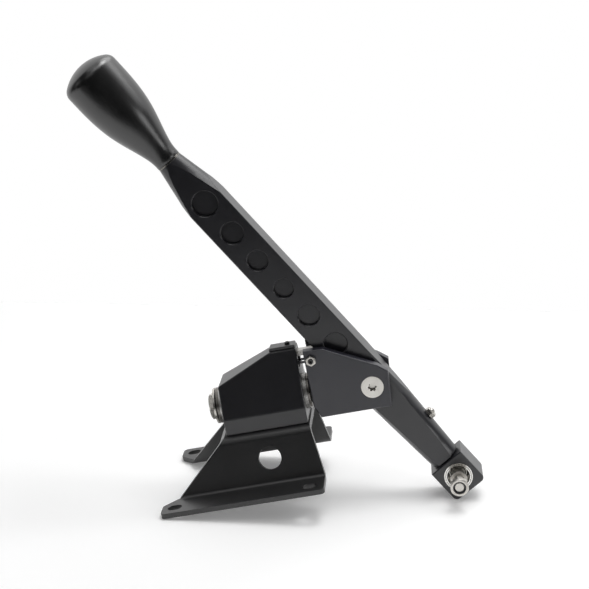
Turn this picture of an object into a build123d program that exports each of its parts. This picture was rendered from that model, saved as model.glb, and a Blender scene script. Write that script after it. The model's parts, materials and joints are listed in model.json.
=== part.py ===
"""Short shifter for a floor-mounted gearbox linkage.

A bent-plate bridge bolts to the tunnel and carries a tapered housing. A shaft
through the housing lets a fork roll from side to side, and the lever pitches
fore and aft in the fork. The lower end of the lever carries a block with a
spherical bearing, whose bolt ends in a pin for the selector rod's eye.

Millimetres. +X points to the rear of the car, +Y to the far side of the photo,
+Z up from the feet. The origin is the centre of the four floor slots, on the
underside of the feet.
"""

import os
from math import acos, atan, cos, degrees, pi, radians, sin, sqrt, tan

from build123d import *

os.makedirs("parts", exist_ok=True)

# Floor bracket, bent from one plate
plate = 4.0
bend_radius = 3.0
slot_pitch_x = 104.0
slot_pitch_y = 110.0
slot_width = 8.5
slot_length = 11.0
tab_front_margin = 10.0
foot_rear_margin = 11.5
foot_side_margin = 9.5
tab_width = 15.0
tab_corner = 3.5
leg_stance = 36.3
leg_lean = 15.0
leg_front_setback = 11.8
deck_front_margin = 2.0
deck_rear_margin = 1.0
deck_top = 42.0
leg_hole_diameter = 17.5
leg_hole_x = 24.0
leg_hole_z = 22.0

# Housing, machined, open at the bottom
housing_front_x = -7.0
housing_length = 64.0
housing_half_width = 23.9
skirt_height = 12.8
side_lean = 20.0
nose_height = 37.4
housing_height = 55.4
roof_flat = 21.0
end_wall = 10.0
side_wall = 4.6
roof_wall = 3.5
edge_break = 0.6
fit_gap = 0.03

# Roll shaft, its bushes and washers
axis_rise = 18.0
shaft_diameter = 14.0
running_gap = 0.05
shaft_grip = 22.0
shaft_head_flats = 19.0
shaft_head_height = 4.2
shaft_head_turn = -11.6
shaft_end_chamfer = 1.0
hex_face_share = 0.95
bush_wall = 2.0
bush_length = 10.0
flange_diameter = 28.0
flange_thickness = 2.5
face_gap = 0.1
front_washer = 1.6
front_shim = 1.1
front_ring = 2.0
shim_diameter = 20.0
rear_washer = 1.6
rear_washer_diameter = 26.0

# Centring spring, and the pins that its legs hold between them
wire_diameter = 2.0
coil_radius = 12.0
coil_pitch = 2.5
coil_turns = 6
coil_setback = 17.0
spool_wall = 2.5
leg_overhang = 1.5
leg_bend_radius = 3.0
leg_window_width = 17.0
leg_window_height = 5.0
pin_diameter = 6.0
pin_overlap = 1.5
pin_seat = 2.6
anchor_pin_setback = 4.0
post_setback = 4.0
post_wall = 3.0
post_gap = 0.5
web_gap = 2.0

# Gate tongue and the screws that meet it
tongue_width = 8.0
tongue_thickness = 4.0
tongue_head_depth = 8.0
tongue_head_ramp = 1.5
tongue_front_gap = 1.5
tongue_head_gap = 1.2
tongue_head_length = 6.0
lid_front_gap = 0.4
lid_width = 12.0
lid_thickness = 2.5
lid_screw_setback = 6.6
lid_screw_diameter = 2.5
lid_screw_head = 4.0
lid_screw_head_height = 1.8
stop_screw_diameter = 4.0
stop_screw_setback = 5.0
stop_screw_drop = 4.7
stop_screw_length = 15.5
roll_limit = 5.5
stop_margin = 0.2
stop_nut_flats = 7.0
stop_nut_height = 3.2

# Fork
fork_gap = 6.0
fork_width = 36.0
ear_thickness = 7.0
ear_top_margin = 3.1
ear_bottom_drop = 17.5
ear_brow_length = 15.0
ear_brow_drop = 0.6
ear_shoulder_margin = 6.5
ear_shoulder_rise = 16.7
ear_tip_margin = 14.0
ear_tip_rise = 10.7
ear_heel_margin = 11.9
chin_rise = 9.5
chin_depth = 4.4
shaft_screw_setback = 13.0
shaft_screw_diameter = 6.0
lever_length_in_fork = 70.0

# Lever, measured along its axis from the pivot
pivot_setback = 46.8
lean = 31.0
throw = 38.0
lever_width = 30.0
lever_thickness = 20.5
arm_length = 84.3
arm_end_radius = 12.0
arm_taper = 3.1
neck_length = 227.0
neck_radius = 10.05
neck_taper = 10.9
stud_diameter = 12.0
stud_length = 30.0
stud_end_gap = 1.0
pocket_places = ((187.3, 9.9), (157.5, 8.6), (129.4, 7.9), (100.5, 7.5), (72.5, 8.3), (42.2, 8.9))
pocket_depth = 3.0
pocket_break = 0.5
sleeve_diameter = 12.0
lever_bush_wall = 2.0
lever_bush_flange = 20.0
lever_bush_flange_thickness = 0.65
lever_bush_length = 9.0
pivot_screw_diameter = 8.0
pivot_head_diameter = 17.2
pivot_head_gap = 0.3
pivot_screw_length = 16.0
pivot_socket_radius = 2.4
pivot_socket_lobe = 0.95
pivot_socket_depth = 3.6
stop_gap = 0.25

# Knob, its rises measured along the lever from the knob's foot
knob_height = 94.7
knob_radius = 22.7
knob_widest_rise = 74.8
knob_girth_radius = 19.45
knob_girth_rise = 39.8
knob_waist_radius = 12.4
knob_waist_rise = 15.8
knob_foot_radius = 10.1
knob_skirt = 3.0
knob_dome_radius = 33.5
knob_rim_radius = 8.0
collar_thickness = 1.2

# Throw adjustment and bearing block
block_size = 29.4
block_gap = 0.9
block_half_thickness = 12.4
block_corner = 4.0
stem_diameter = 12.0
stem_flat = 0.8
stem_flat_margin = 4.5
stem_grip = 4.0
stem_end_gap = 5.5
throw_travel = 14.0
lock_screw_rise = 34.8
lock_screw_stand = 1.0
lock_spot_depth = 0.3
lock_spot_margin = 1.0
lock_screw_diameter = 5.0
lock_jam_flats = 8.0
lock_jam_height = 4.0

# Spherical bearing and its bolt
race_diameter = 22.0
ball_diameter = 16.0
ball_width = 12.0
race_seat_width = 9.0
race_mouth_radius = 8.8
race_groove_radius = 9.9
race_groove_width = 0.8
race_recess = 0.2
link_diameter = 8.0
link_flats = 13.0
link_head_height = 5.3
link_washer = 1.6
link_washer_diameter = 13.0
spacer_tip_radius = 5.0
spacer_radius = 5.4
spacer_taper = 2.5
near_spacer_end = 17.0
far_spacer_end = 16.4
link_pin_length = 14.0
lock_nut_standoff = 10.0
lock_nut_height = 5.8
lock_nut_hex = 4.8
lock_nut_collar = 7.0
insert_width = 2.6
insert_radius = 5.0
insert_recess = 1.0
bolt_recess = 1.4

# Housing screws, from under the deck
housing_screw_diameter = 6.0
housing_screw_hole = 6.5
housing_screw_head = 10.0
housing_screw_head_height = 6.0
housing_screw_socket = 5.0
housing_screw_reach = 12.0
housing_hole_depth = 14.0
housing_screw_y = 16.0

# Places that follow from the sizes
axis_z = deck_top + axis_rise
housing_rear_x = housing_front_x + housing_length
housing_top = deck_top + housing_height
hollow_front_x = housing_front_x + end_wall
hollow_rear_x = housing_rear_x - end_wall
roof_corner_x = housing_rear_x - roof_flat
fork_front_x = housing_rear_x + fork_gap
pivot_x = fork_front_x + pivot_setback
deck_front_x = housing_front_x - deck_front_margin
deck_rear_x = housing_rear_x + deck_rear_margin
tongue_top = housing_top - roof_wall
tongue_under = tongue_top - tongue_thickness
tongue_head_under = tongue_top - tongue_head_depth
tongue_head_x = fork_front_x + tongue_head_gap
tongue_end_x = tongue_head_x + tongue_head_length
lid_screw_x = housing_rear_x - lid_screw_setback
anchor_pin_x = hollow_rear_x - anchor_pin_setback
post_x = fork_front_x + post_setback
post_top_z = tongue_head_under - post_gap
leg_z = post_top_z - wire_diameter / 2
leg_end_x = post_x + pin_diameter / 2 + leg_overhang
web_top_z = leg_z - wire_diameter / 2 - web_gap
stop_screw_x = fork_front_x + stop_screw_setback
stop_screw_z = tongue_top - stop_screw_drop
ear_top_z = tongue_top + ear_top_margin
ear_bottom_z = axis_z - ear_bottom_drop
shaft_screw_x = fork_front_x + shaft_screw_setback
lean_rad = radians(lean)
axis_up = Vector(-sin(lean_rad), 0, cos(lean_rad))
axis_rear = Vector(cos(lean_rad), 0, sin(lean_rad))
pivot = Vector(pivot_x, 0, axis_z)
lever_side = Plane(origin=pivot, x_dir=axis_rear, z_dir=(0, -1, 0))
lever_axis = Axis(pivot, axis_up)
pivot_axis = Axis(pivot, Vector(0, 1, 0))
tab_front_x = -slot_pitch_x / 2 - tab_front_margin
foot_rear_x = slot_pitch_x / 2 + foot_rear_margin
foot_half_width = slot_pitch_y / 2 + foot_side_margin
leg_front_x = tab_front_x + leg_front_setback
skirt_top = deck_top + skirt_height
ear_inner = fork_width / 2 - ear_thickness
shaft_radius = shaft_diameter / 2
bush_radius = shaft_radius + running_gap + bush_wall
post_foot_z = axis_z + shaft_radius + post_wall
lock_screw_drop = arm_length - lock_screw_rise
stem_top_drop = lock_screw_drop - throw_travel - stem_grip
block_distance = arm_length + block_gap + block_size / 2
block_centre = pivot - axis_up * block_distance
half_lever = lever_thickness / 2
housing_screw_places = [
    (x, y)
    for x in (housing_front_x + end_wall / 2, housing_rear_x - end_wall / 2)
    for y in (-housing_screw_y, housing_screw_y)
]


def lever_cross(distance):
    """Plane across the lever: local X to the rear, local Y across the car."""
    return Plane(origin=pivot + axis_up * distance, x_dir=axis_rear, z_dir=axis_up)


def finish(part, name):
    """Label a sub-part and write it."""
    part.label = name
    export_step(part, f"parts/{name}.step")
    print(f"{name}: {len(part.solids())} solid(s)")


def housing_half_at(z):
    """Half width of the housing at a height."""
    return housing_half_width - max(0.0, z - skirt_top) * tan(radians(side_lean))


# Floor bracket: a hat section, trimmed to the legs' slope and the feet's tabs
leg_slope = tan(radians(leg_lean))
deck_under = deck_top - plate
deck_half_width = leg_stance - deck_under * leg_slope
hat_half = [
    (foot_half_width, 0),
    (leg_stance, 0),
    (deck_half_width, deck_under),
]
hat_line = hat_half + [(-y, z) for y, z in reversed(hat_half)]
outer_bend = bend_radius + plate
leg_hole_planes = [
    Plane(
        origin=(leg_hole_x, side * (leg_stance - leg_hole_z * leg_slope), leg_hole_z),
        x_dir=(1, 0, 0),
        z_dir=(0, side * cos(radians(leg_lean)), sin(radians(leg_lean))),
    )
    for side in (-1, 1)
]

with BuildPart() as base_bracket:
    with BuildSketch(Plane.YZ.offset(tab_front_x)):
        with BuildLine():
            FilletPolyline(*hat_line, radius=[outer_bend, bend_radius, bend_radius, outer_bend])
            offset(amount=plate, side=Side.RIGHT)
        make_face()
    extrude(amount=foot_rear_x - tab_front_x)
    with BuildSketch(Plane.XZ):
        with BuildLine():
            Polyline(
                (tab_front_x, 0),
                (foot_rear_x, 0),
                (foot_rear_x, plate),
                (deck_rear_x, deck_top),
                (deck_front_x, deck_top),
                (leg_front_x, plate),
                (tab_front_x, plate),
                close=True,
            )
        make_face()
    extrude(amount=foot_half_width, both=True, mode=Mode.INTERSECT)
    with BuildSketch(Plane.XY):
        with BuildLine():
            Polyline(
                (tab_front_x - 1, foot_half_width - tab_width),
                (tab_front_x, foot_half_width - tab_width),
                (leg_front_x, leg_stance + plate / 2),
                (leg_front_x, -leg_stance - plate / 2),
                (tab_front_x, tab_width - foot_half_width),
                (tab_front_x - 1, tab_width - foot_half_width),
                close=True,
            )
        make_face()
    extrude(amount=plate, mode=Mode.SUBTRACT)
    foot_corners = base_bracket.edges().filter_by(Axis.Z).filter_by(
        lambda edge: abs(edge.center().Y) > foot_half_width - tab_width - 1
    )
    fillet(foot_corners, radius=tab_corner)
    with BuildSketch(Plane.XY):
        with GridLocations(slot_pitch_x, slot_pitch_y, 2, 2):
            SlotOverall(slot_length, slot_width)
    extrude(amount=plate, mode=Mode.SUBTRACT)
    for leg_hole_plane in leg_hole_planes:
        with BuildSketch(leg_hole_plane):
            Circle(leg_hole_diameter / 2)
        extrude(amount=2 * plate, both=True, mode=Mode.SUBTRACT)
    with BuildSketch(Plane.XY.offset(deck_under)):
        with Locations(*housing_screw_places):
            Circle(housing_screw_hole / 2)
    extrude(amount=plate, mode=Mode.SUBTRACT)
finish(base_bracket.part, "base_bracket")


# Housing: the hollow first, then the body cut by it
nose_slope = (housing_height - nose_height) / (housing_length - roof_flat)
hollow_nose_z = deck_top + nose_height + end_wall * nose_slope - roof_wall
hollow_top = housing_top - roof_wall

with BuildPart() as housing_hollow:
    with BuildSketch(Plane.YZ.offset(hollow_front_x)):
        with BuildLine():
            Polyline(
                (side_wall - housing_half_width, deck_top),
                (side_wall - housing_half_width, skirt_top),
                (side_wall - housing_half_at(hollow_top), hollow_top),
                (housing_half_at(hollow_top) - side_wall, hollow_top),
                (housing_half_width - side_wall, skirt_top),
                (housing_half_width - side_wall, deck_top),
                close=True,
            )
        make_face()
    extrude(amount=hollow_rear_x - hollow_front_x)
    with BuildSketch(Plane.XZ):
        with BuildLine():
            Polyline(
                (hollow_front_x, deck_top),
                (hollow_rear_x, deck_top),
                (hollow_rear_x, hollow_top),
                (roof_corner_x, hollow_top),
                (hollow_front_x, hollow_nose_z),
                close=True,
            )
        make_face()
    extrude(amount=housing_half_width, both=True, mode=Mode.INTERSECT)

with BuildPart() as housing:
    with BuildSketch(Plane.YZ.offset(housing_front_x)):
        with BuildLine():
            Polyline(
                (-housing_half_width, deck_top),
                (-housing_half_width, skirt_top),
                (-housing_half_at(housing_top), housing_top),
                (housing_half_at(housing_top), housing_top),
                (housing_half_width, skirt_top),
                (housing_half_width, deck_top),
                close=True,
            )
        make_face()
    extrude(amount=housing_length)
    with BuildSketch(Plane.XZ):
        with BuildLine():
            Polyline(
                (housing_front_x, deck_top),
                (housing_rear_x, deck_top),
                (housing_rear_x, housing_top),
                (roof_corner_x, housing_top),
                (housing_front_x, deck_top + nose_height),
                close=True,
            )
        make_face()
    extrude(amount=housing_half_width, both=True, mode=Mode.INTERSECT)
    chamfer(housing.edges().filter_by(GeomType.LINE), length=edge_break)
    add(housing_hollow.part, mode=Mode.SUBTRACT)
    with BuildSketch(Plane.YZ.offset(housing_front_x)):
        with Locations((0, axis_z)):
            Circle(bush_radius + fit_gap)
    extrude(amount=housing_length, mode=Mode.SUBTRACT)
    with BuildSketch(Plane.YZ.offset(hollow_rear_x)):
        with Locations((0, tongue_top)):
            Rectangle(
                tongue_width + 2 * running_gap,
                tongue_top - leg_z,
                align=(Align.CENTER, Align.MAX),
            )
        with Locations((0, leg_z)):
            Rectangle(leg_window_width, leg_window_height)
    extrude(amount=end_wall, mode=Mode.SUBTRACT)
    with BuildSketch(Plane.XY.offset(deck_top)):
        with Locations(*housing_screw_places):
            Circle(housing_screw_diameter / 2 + fit_gap)
    extrude(amount=housing_hole_depth, mode=Mode.SUBTRACT)
    with BuildSketch(Plane.XY.offset(hollow_top)):
        with Locations((lid_screw_x, 0)):
            Circle(lid_screw_diameter / 2 + fit_gap)
    extrude(amount=roof_wall, mode=Mode.SUBTRACT)
finish(housing.part, "housing")


# Outlines for turned pieces: distance along the axis, then radius
def ring_outline(start, end, outer_radius, inner_radius=0.0):
    """Rectangle that turns into a ring or a disc."""
    return [(start, inner_radius), (end, inner_radius), (end, outer_radius), (start, outer_radius)]


def corner_outline(start, end, flats):
    """Outline of the blank that takes the corners off a hexagon at both of its ends."""
    corner = flats / sqrt(3)
    face_radius = flats / 2 * hex_face_share
    drop = (corner - face_radius) * tan(radians(30)) * (1 if end > start else -1)
    return [
        (start, 0),
        (start, face_radius),
        (start + drop, corner),
        (end - drop, corner),
        (end, face_radius),
        (end, 0),
    ]


roll_section = Plane(origin=(0, 0, axis_z), x_dir=(1, 0, 0), z_dir=(0, -1, 0))
roll_axis = Axis((0, 0, axis_z), (1, 0, 0))

with BuildPart() as housing_screws:
    with BuildSketch(Plane.XY.offset(deck_under - housing_screw_head_height)):
        with Locations(*housing_screw_places):
            Circle(housing_screw_head / 2)
    extrude(amount=housing_screw_head_height)
    chamfer(housing_screws.edges().group_by(Axis.Z)[0], length=edge_break)
    with BuildSketch(Plane.XY.offset(deck_under)):
        with Locations(*housing_screw_places):
            Circle(housing_screw_diameter / 2)
    extrude(amount=plate + housing_screw_reach)
    with BuildSketch(Plane.XY.offset(deck_under - housing_screw_head_height)):
        with Locations(*housing_screw_places):
            RegularPolygon(housing_screw_socket / 2, 6, major_radius=False)
    extrude(amount=housing_screw_head_height / 2, mode=Mode.SUBTRACT)
finish(housing_screws.part, "housing_screws")

# Lid on the roof, with the screw that also holds the tongue
lid_front_x = roof_corner_x + lid_front_gap
lid_rear_x = housing_rear_x - edge_break
with BuildPart() as lid:
    with BuildSketch(Plane.XY.offset(housing_top)):
        with Locations((lid_rear_x, 0)):
            Rectangle(lid_rear_x - lid_front_x, lid_width, align=(Align.MAX, Align.CENTER))
        with Locations((lid_screw_x, 0)):
            Circle(lid_screw_diameter / 2 + fit_gap, mode=Mode.SUBTRACT)
    extrude(amount=lid_thickness)
    chamfer(lid.faces().sort_by(Axis.Z)[-1].outer_wire().edges(), length=edge_break)
finish(lid.part, "lid")

lid_top = housing_top + lid_thickness
with BuildPart() as lid_screw:
    with BuildSketch(Plane.XY.offset(lid_top)):
        with Locations((lid_screw_x, 0)):
            Circle(lid_screw_head / 2)
    extrude(amount=lid_screw_head_height)
    fillet(lid_screw.edges().group_by(Axis.Z)[-1], radius=lid_screw_head_height / 2)
    with BuildSketch(Plane.XY.offset(lid_top)):
        with Locations((lid_screw_x, 0)):
            Circle(lid_screw_diameter / 2)
    extrude(amount=tongue_under - lid_top)
    with BuildSketch(Plane.XY.offset(lid_top + lid_screw_head_height)):
        with Locations((lid_screw_x, 0)):
            RegularPolygon(lid_screw_diameter / 3, 6, major_radius=False)
    extrude(amount=-lid_screw_head_height / 2, mode=Mode.SUBTRACT)
finish(lid_screw.part, "lid_screw")

# Gate tongue, under the roof and out through the rear wall
with BuildPart() as gate_tongue:
    with BuildSketch(Plane.XZ):
        with BuildLine():
            Polyline(
                (roof_corner_x + tongue_front_gap, tongue_top),
                (tongue_end_x, tongue_top),
                (tongue_end_x, tongue_head_under),
                (tongue_head_x, tongue_head_under),
                (tongue_head_x - tongue_head_ramp, tongue_under),
                (roof_corner_x + tongue_front_gap, tongue_under),
                close=True,
            )
        make_face()
    extrude(amount=tongue_width / 2, both=True)
    with BuildSketch(Plane.XY.offset(tongue_top)):
        with Locations((lid_screw_x, 0)):
            Circle(lid_screw_diameter / 2 + fit_gap)
    extrude(amount=-tongue_thickness, mode=Mode.SUBTRACT)
    with BuildSketch(Plane.XY.offset(tongue_under)):
        with Locations((anchor_pin_x, 0)):
            Circle(pin_diameter / 2 + fit_gap)
    extrude(amount=pin_seat + fit_gap, mode=Mode.SUBTRACT)
finish(gate_tongue.part, "gate_tongue")

with BuildPart() as anchor_pin:
    with BuildSketch(Plane.XY.offset(leg_z - pin_overlap)):
        with Locations((anchor_pin_x, 0)):
            Circle(pin_diameter / 2)
    extrude(amount=tongue_under + pin_seat - leg_z + pin_overlap)
    chamfer(anchor_pin.edges().group_by(Axis.Z)[0], length=edge_break)
finish(anchor_pin.part, "anchor_pin")

# Flanged bushes in the two end walls
def bush_outline(face, direction):
    """Flanged bush whose flange lies on a face, with its body behind the face."""
    flange_end = face + direction * flange_thickness
    body_end = face - direction * bush_length
    bore = shaft_radius + running_gap
    return [
        (flange_end, bore),
        (flange_end, flange_diameter / 2),
        (face, flange_diameter / 2),
        (face, bush_radius),
        (body_end, bush_radius),
        (body_end, bore),
    ]


with BuildPart() as front_bush:
    with BuildSketch(roll_section):
        with BuildLine():
            Polyline(*bush_outline(housing_front_x, -1), close=True)
        make_face()
    revolve(axis=roll_axis)
finish(front_bush.part, "front_bush")

with BuildPart() as rear_bush:
    with BuildSketch(roll_section):
        with BuildLine():
            Polyline(*bush_outline(housing_rear_x, 1), close=True)
        make_face()
    revolve(axis=roll_axis)
finish(rear_bush.part, "rear_bush")

# Roll shaft with its hexagonal head, then the rings on it
front_ring_x = housing_front_x - flange_thickness - face_gap - front_ring
front_shim_x = front_ring_x - front_shim
front_washer_x = front_shim_x - front_washer
shaft_head_x = front_washer_x - shaft_head_height
rear_washer_x = housing_rear_x + flange_thickness + face_gap
rear_spacer_x = rear_washer_x + rear_washer
shaft_end_x = fork_front_x + shaft_grip
ring_bore = shaft_radius + fit_gap

with BuildPart() as roll_shaft:
    with BuildSketch(Plane.YZ.offset(shaft_head_x)):
        with Locations((0, axis_z)):
            RegularPolygon(shaft_head_flats / 2, 6, major_radius=False, rotation=shaft_head_turn)
    extrude(amount=shaft_head_height)
    with BuildSketch(roll_section):
        with BuildLine():
            Polyline(*corner_outline(shaft_head_x, front_washer_x, shaft_head_flats), close=True)
        make_face()
    revolve(axis=roll_axis, mode=Mode.INTERSECT)
    with BuildSketch(Plane.YZ.offset(front_washer_x)):
        with Locations((0, axis_z)):
            Circle(shaft_radius)
    extrude(amount=shaft_end_x - front_washer_x)
    chamfer(roll_shaft.edges().group_by(Axis.X)[-1], length=shaft_end_chamfer)
finish(roll_shaft.part, "roll_shaft")

with BuildPart() as front_ring_plate:
    with BuildSketch(roll_section):
        with BuildLine():
            Polyline(
                *ring_outline(front_ring_x, front_ring_x + front_ring, flange_diameter / 2, ring_bore),
                close=True,
            )
        make_face()
    revolve(axis=roll_axis)
finish(front_ring_plate.part, "front_ring")

with BuildPart() as front_shim_ring:
    with BuildSketch(roll_section):
        with BuildLine():
            Polyline(*ring_outline(front_shim_x, front_ring_x, shim_diameter / 2, ring_bore), close=True)
        make_face()
    revolve(axis=roll_axis)
finish(front_shim_ring.part, "front_shim")

with BuildPart() as front_washer_plate:
    with BuildSketch(roll_section):
        with BuildLine():
            Polyline(*ring_outline(front_washer_x, front_shim_x, flange_diameter / 2, ring_bore), close=True)
        make_face()
    revolve(axis=roll_axis)
finish(front_washer_plate.part, "front_washer")

with BuildPart() as rear_washer_plate:
    with BuildSketch(roll_section):
        with BuildLine():
            Polyline(
                *ring_outline(rear_washer_x, rear_spacer_x, rear_washer_diameter / 2, ring_bore),
                close=True,
            )
        make_face()
    revolve(axis=roll_axis)
finish(rear_washer_plate.part, "rear_washer")

with BuildPart() as rear_spacer_ring:
    with BuildSketch(roll_section):
        with BuildLine():
            Polyline(*ring_outline(rear_spacer_x, fork_front_x, shim_diameter / 2, ring_bore), close=True)
        make_face()
    revolve(axis=roll_axis)
finish(rear_spacer_ring.part, "rear_spacer")

# Spool between the bushes, inside the centring spring
spool_front_x = housing_front_x + bush_length + face_gap
spool_rear_x = housing_rear_x - bush_length - face_gap
with BuildPart() as spring_spool:
    with BuildSketch(roll_section):
        with BuildLine():
            Polyline(
                *ring_outline(spool_front_x, spool_rear_x, ring_bore + spool_wall, ring_bore),
                close=True,
            )
        make_face()
    revolve(axis=roll_axis)
finish(spring_spool.part, "spring_spool")

# Centring spring: a coil about the roll axis, with two crossed legs that hold both pins
leg_offset = pin_diameter / 2 + wire_diameter / 2 + running_gap
leg_rise = leg_z - axis_z
leg_reach = sqrt(leg_offset**2 + leg_rise**2)
coil_start_angle = degrees(acos(coil_radius / leg_reach) - atan(leg_offset / leg_rise))
coil_sweep = 360 * coil_turns - 2 * coil_start_angle
coil_length = coil_pitch * coil_sweep / 360
coil_climb = coil_pitch / (2 * pi * coil_radius)
coil_start_x = hollow_front_x + coil_setback
coil_end_x = coil_start_x + coil_length


def coil_point(angle, along):
    """Point on the coil, the angle measured from the top towards the far side."""
    return Vector(
        along,
        coil_radius * sin(radians(angle)),
        axis_z + coil_radius * cos(radians(angle)),
    )


leg_run = sqrt(leg_reach**2 - coil_radius**2)
front_foot = coil_point(coil_start_angle, coil_start_x)
rear_foot = coil_point(-coil_start_angle, coil_end_x)
front_knee = Vector(coil_start_x - leg_run * coil_climb, -leg_offset, leg_z)
rear_knee = Vector(coil_end_x + leg_run * coil_climb, leg_offset, leg_z)
front_tip = Vector(leg_end_x, -leg_offset, leg_z)
rear_tip = Vector(leg_end_x, leg_offset, leg_z)
front_leg = FilletPolyline(front_tip, front_knee, front_foot, radius=leg_bend_radius)
rear_leg = FilletPolyline(rear_foot, rear_knee, rear_tip, radius=leg_bend_radius)
coil_plane = Plane(
    origin=(coil_start_x, 0, axis_z),
    x_dir=(0, sin(radians(coil_start_angle)), cos(radians(coil_start_angle))),
    z_dir=(1, 0, 0),
)
coil = coil_plane.location * Helix(coil_pitch, coil_length, coil_radius, lefthand=True)

with BuildPart() as centring_spring:
    with BuildLine() as wire_path:
        add(front_leg)
        add(coil)
        add(rear_leg)
    with BuildSketch(Plane(origin=front_tip, z_dir=(-1, 0, 0))):
        Circle(wire_diameter / 2)
    sweep(path=wire_path.wire())
finish(centring_spring.part, "centring_spring")

# Fork
fork_half = fork_width / 2
lever_half_width = lever_width / 2
fork_outline = [
    (fork_front_x, ear_bottom_z + chin_rise),
    (fork_front_x, ear_top_z),
    (fork_front_x + ear_brow_length, ear_top_z - ear_brow_drop),
    (pivot_x + ear_shoulder_margin, axis_z + ear_shoulder_rise),
    (pivot_x + ear_tip_margin, axis_z + ear_tip_rise),
    (pivot_x + ear_heel_margin, ear_bottom_z),
    (fork_front_x + chin_depth, ear_bottom_z),
]
stop_faces = [
    Plane(
        origin=pivot,
        x_dir=(cos(radians(lean - pitch)), 0, sin(radians(lean - pitch))),
        z_dir=(0, -1, 0),
    )
    for pitch in (0, throw)
]
pivot_section = Plane(origin=pivot, x_dir=(0, 1, 0), z_dir=(1, 0, 0))
head_drop = (pivot_head_diameter - pivot_screw_diameter) / 2


def countersink_outline(side, end, gap=0.0, head_gap=0.0):
    """Half outline of a flat-head screw from one ear's face to its end."""
    face = side * fork_half
    shank = pivot_screw_diameter / 2 + gap
    return [
        (face, 0),
        (face, shank + head_drop + head_gap),
        (face - side * head_drop, shank),
        (end, shank),
        (end, 0),
    ]


with BuildPart() as fork:
    with BuildSketch(Plane.XZ):
        with BuildLine():
            Polyline(*fork_outline, close=True)
        make_face()
    extrude(amount=fork_half, both=True)
    ear_faces = fork.faces().sort_by(Axis.Y)
    chamfer(ear_faces[0].edges() + ear_faces[-1].edges(), length=edge_break)
    with BuildSketch(Plane.XZ):
        with Locations((fork_front_x, web_top_z)):
            Rectangle(2 * lever_length_in_fork, ear_top_z, align=(Align.CENTER, Align.MIN))
    extrude(amount=ear_inner, both=True, mode=Mode.SUBTRACT)
    for stop_face in stop_faces:
        with BuildSketch(stop_face):
            with Locations((-lever_half_width - stop_gap, 0)):
                Rectangle(lever_length_in_fork, 2 * lever_length_in_fork, align=(Align.MIN, Align.CENTER))
        extrude(amount=ear_inner, both=True, mode=Mode.SUBTRACT)
    with BuildSketch(Plane.YZ.offset(fork_front_x)):
        with Locations((0, axis_z)):
            Circle(shaft_radius + fit_gap)
    extrude(amount=pivot_x - fork_front_x, mode=Mode.SUBTRACT)
    with BuildSketch(Plane.XY.offset(ear_bottom_z)):
        with Locations((shaft_screw_x, 0)):
            Circle(shaft_screw_diameter / 2 + fit_gap)
    extrude(amount=axis_z - ear_bottom_z, mode=Mode.SUBTRACT)
    with BuildSketch(Plane.XY.offset(web_top_z)):
        with Locations((post_x, 0)):
            Circle(pin_diameter / 2 + fit_gap)
    extrude(amount=post_foot_z - web_top_z, mode=Mode.SUBTRACT)
    with BuildSketch(Plane.XZ):
        with Locations((stop_screw_x, stop_screw_z)):
            Circle(stop_screw_diameter / 2 + fit_gap)
    extrude(amount=fork_half, both=True, mode=Mode.SUBTRACT)
    for side in (-1, 1):
        with BuildSketch(pivot_section):
            with BuildLine():
                Polyline(*countersink_outline(side, 0, fit_gap, pivot_head_gap), close=True)
            make_face()
        revolve(axis=pivot_axis, mode=Mode.SUBTRACT)
finish(fork.part, "fork")

with BuildPart() as shaft_screw:
    with BuildSketch(Plane.XY.offset(ear_bottom_z + edge_break)):
        with Locations((shaft_screw_x, 0)):
            Circle(shaft_screw_diameter / 2)
    extrude(amount=axis_z - shaft_radius - running_gap - ear_bottom_z - edge_break)
    chamfer(shaft_screw.edges().group_by(Axis.Z)[-1], length=edge_break)
    with BuildSketch(Plane.XY.offset(ear_bottom_z + edge_break)):
        with Locations((shaft_screw_x, 0)):
            RegularPolygon(shaft_screw_diameter / 4, 6, major_radius=False)
    extrude(amount=shaft_screw_diameter / 2, mode=Mode.SUBTRACT)
finish(shaft_screw.part, "shaft_screw")

with BuildPart() as spring_post:
    with BuildSketch(Plane.XY.offset(post_foot_z + fit_gap)):
        with Locations((post_x, 0)):
            Circle(pin_diameter / 2)
    extrude(amount=post_top_z - post_foot_z - fit_gap)
    chamfer(spring_post.edges().group_by(Axis.Z)[-1], length=edge_break / 2)
finish(spring_post.part, "spring_post")

# Gate stop screws and their jam nuts, one in each ear
roll_swing = (stop_screw_z + stop_screw_diameter / 2 - axis_z) * sin(radians(roll_limit))
stop_screw_tip = tongue_width / 2 + roll_swing + stop_margin
with BuildPart() as stop_screws:
    with BuildSketch(Plane.XZ):
        with Locations((stop_screw_x, stop_screw_z)):
            Circle(stop_screw_diameter / 2)
    extrude(amount=stop_screw_tip + stop_screw_length, both=True)
    chamfer(stop_screws.edges().filter_by(GeomType.CIRCLE), length=edge_break)
    with BuildSketch(Plane.XZ):
        with Locations((stop_screw_x, stop_screw_z)):
            Circle(stop_screw_diameter)
    extrude(amount=stop_screw_tip, both=True, mode=Mode.SUBTRACT)
    for side in (-1, 1):
        with BuildSketch(Plane.XZ.offset(side * (stop_screw_tip + stop_screw_length))):
            with Locations((stop_screw_x, stop_screw_z)):
                RegularPolygon(stop_screw_diameter / 4, 6, major_radius=False)
        extrude(amount=-side * stop_screw_diameter / 2, mode=Mode.SUBTRACT)
finish(stop_screws.part, "stop_screws")

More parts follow.
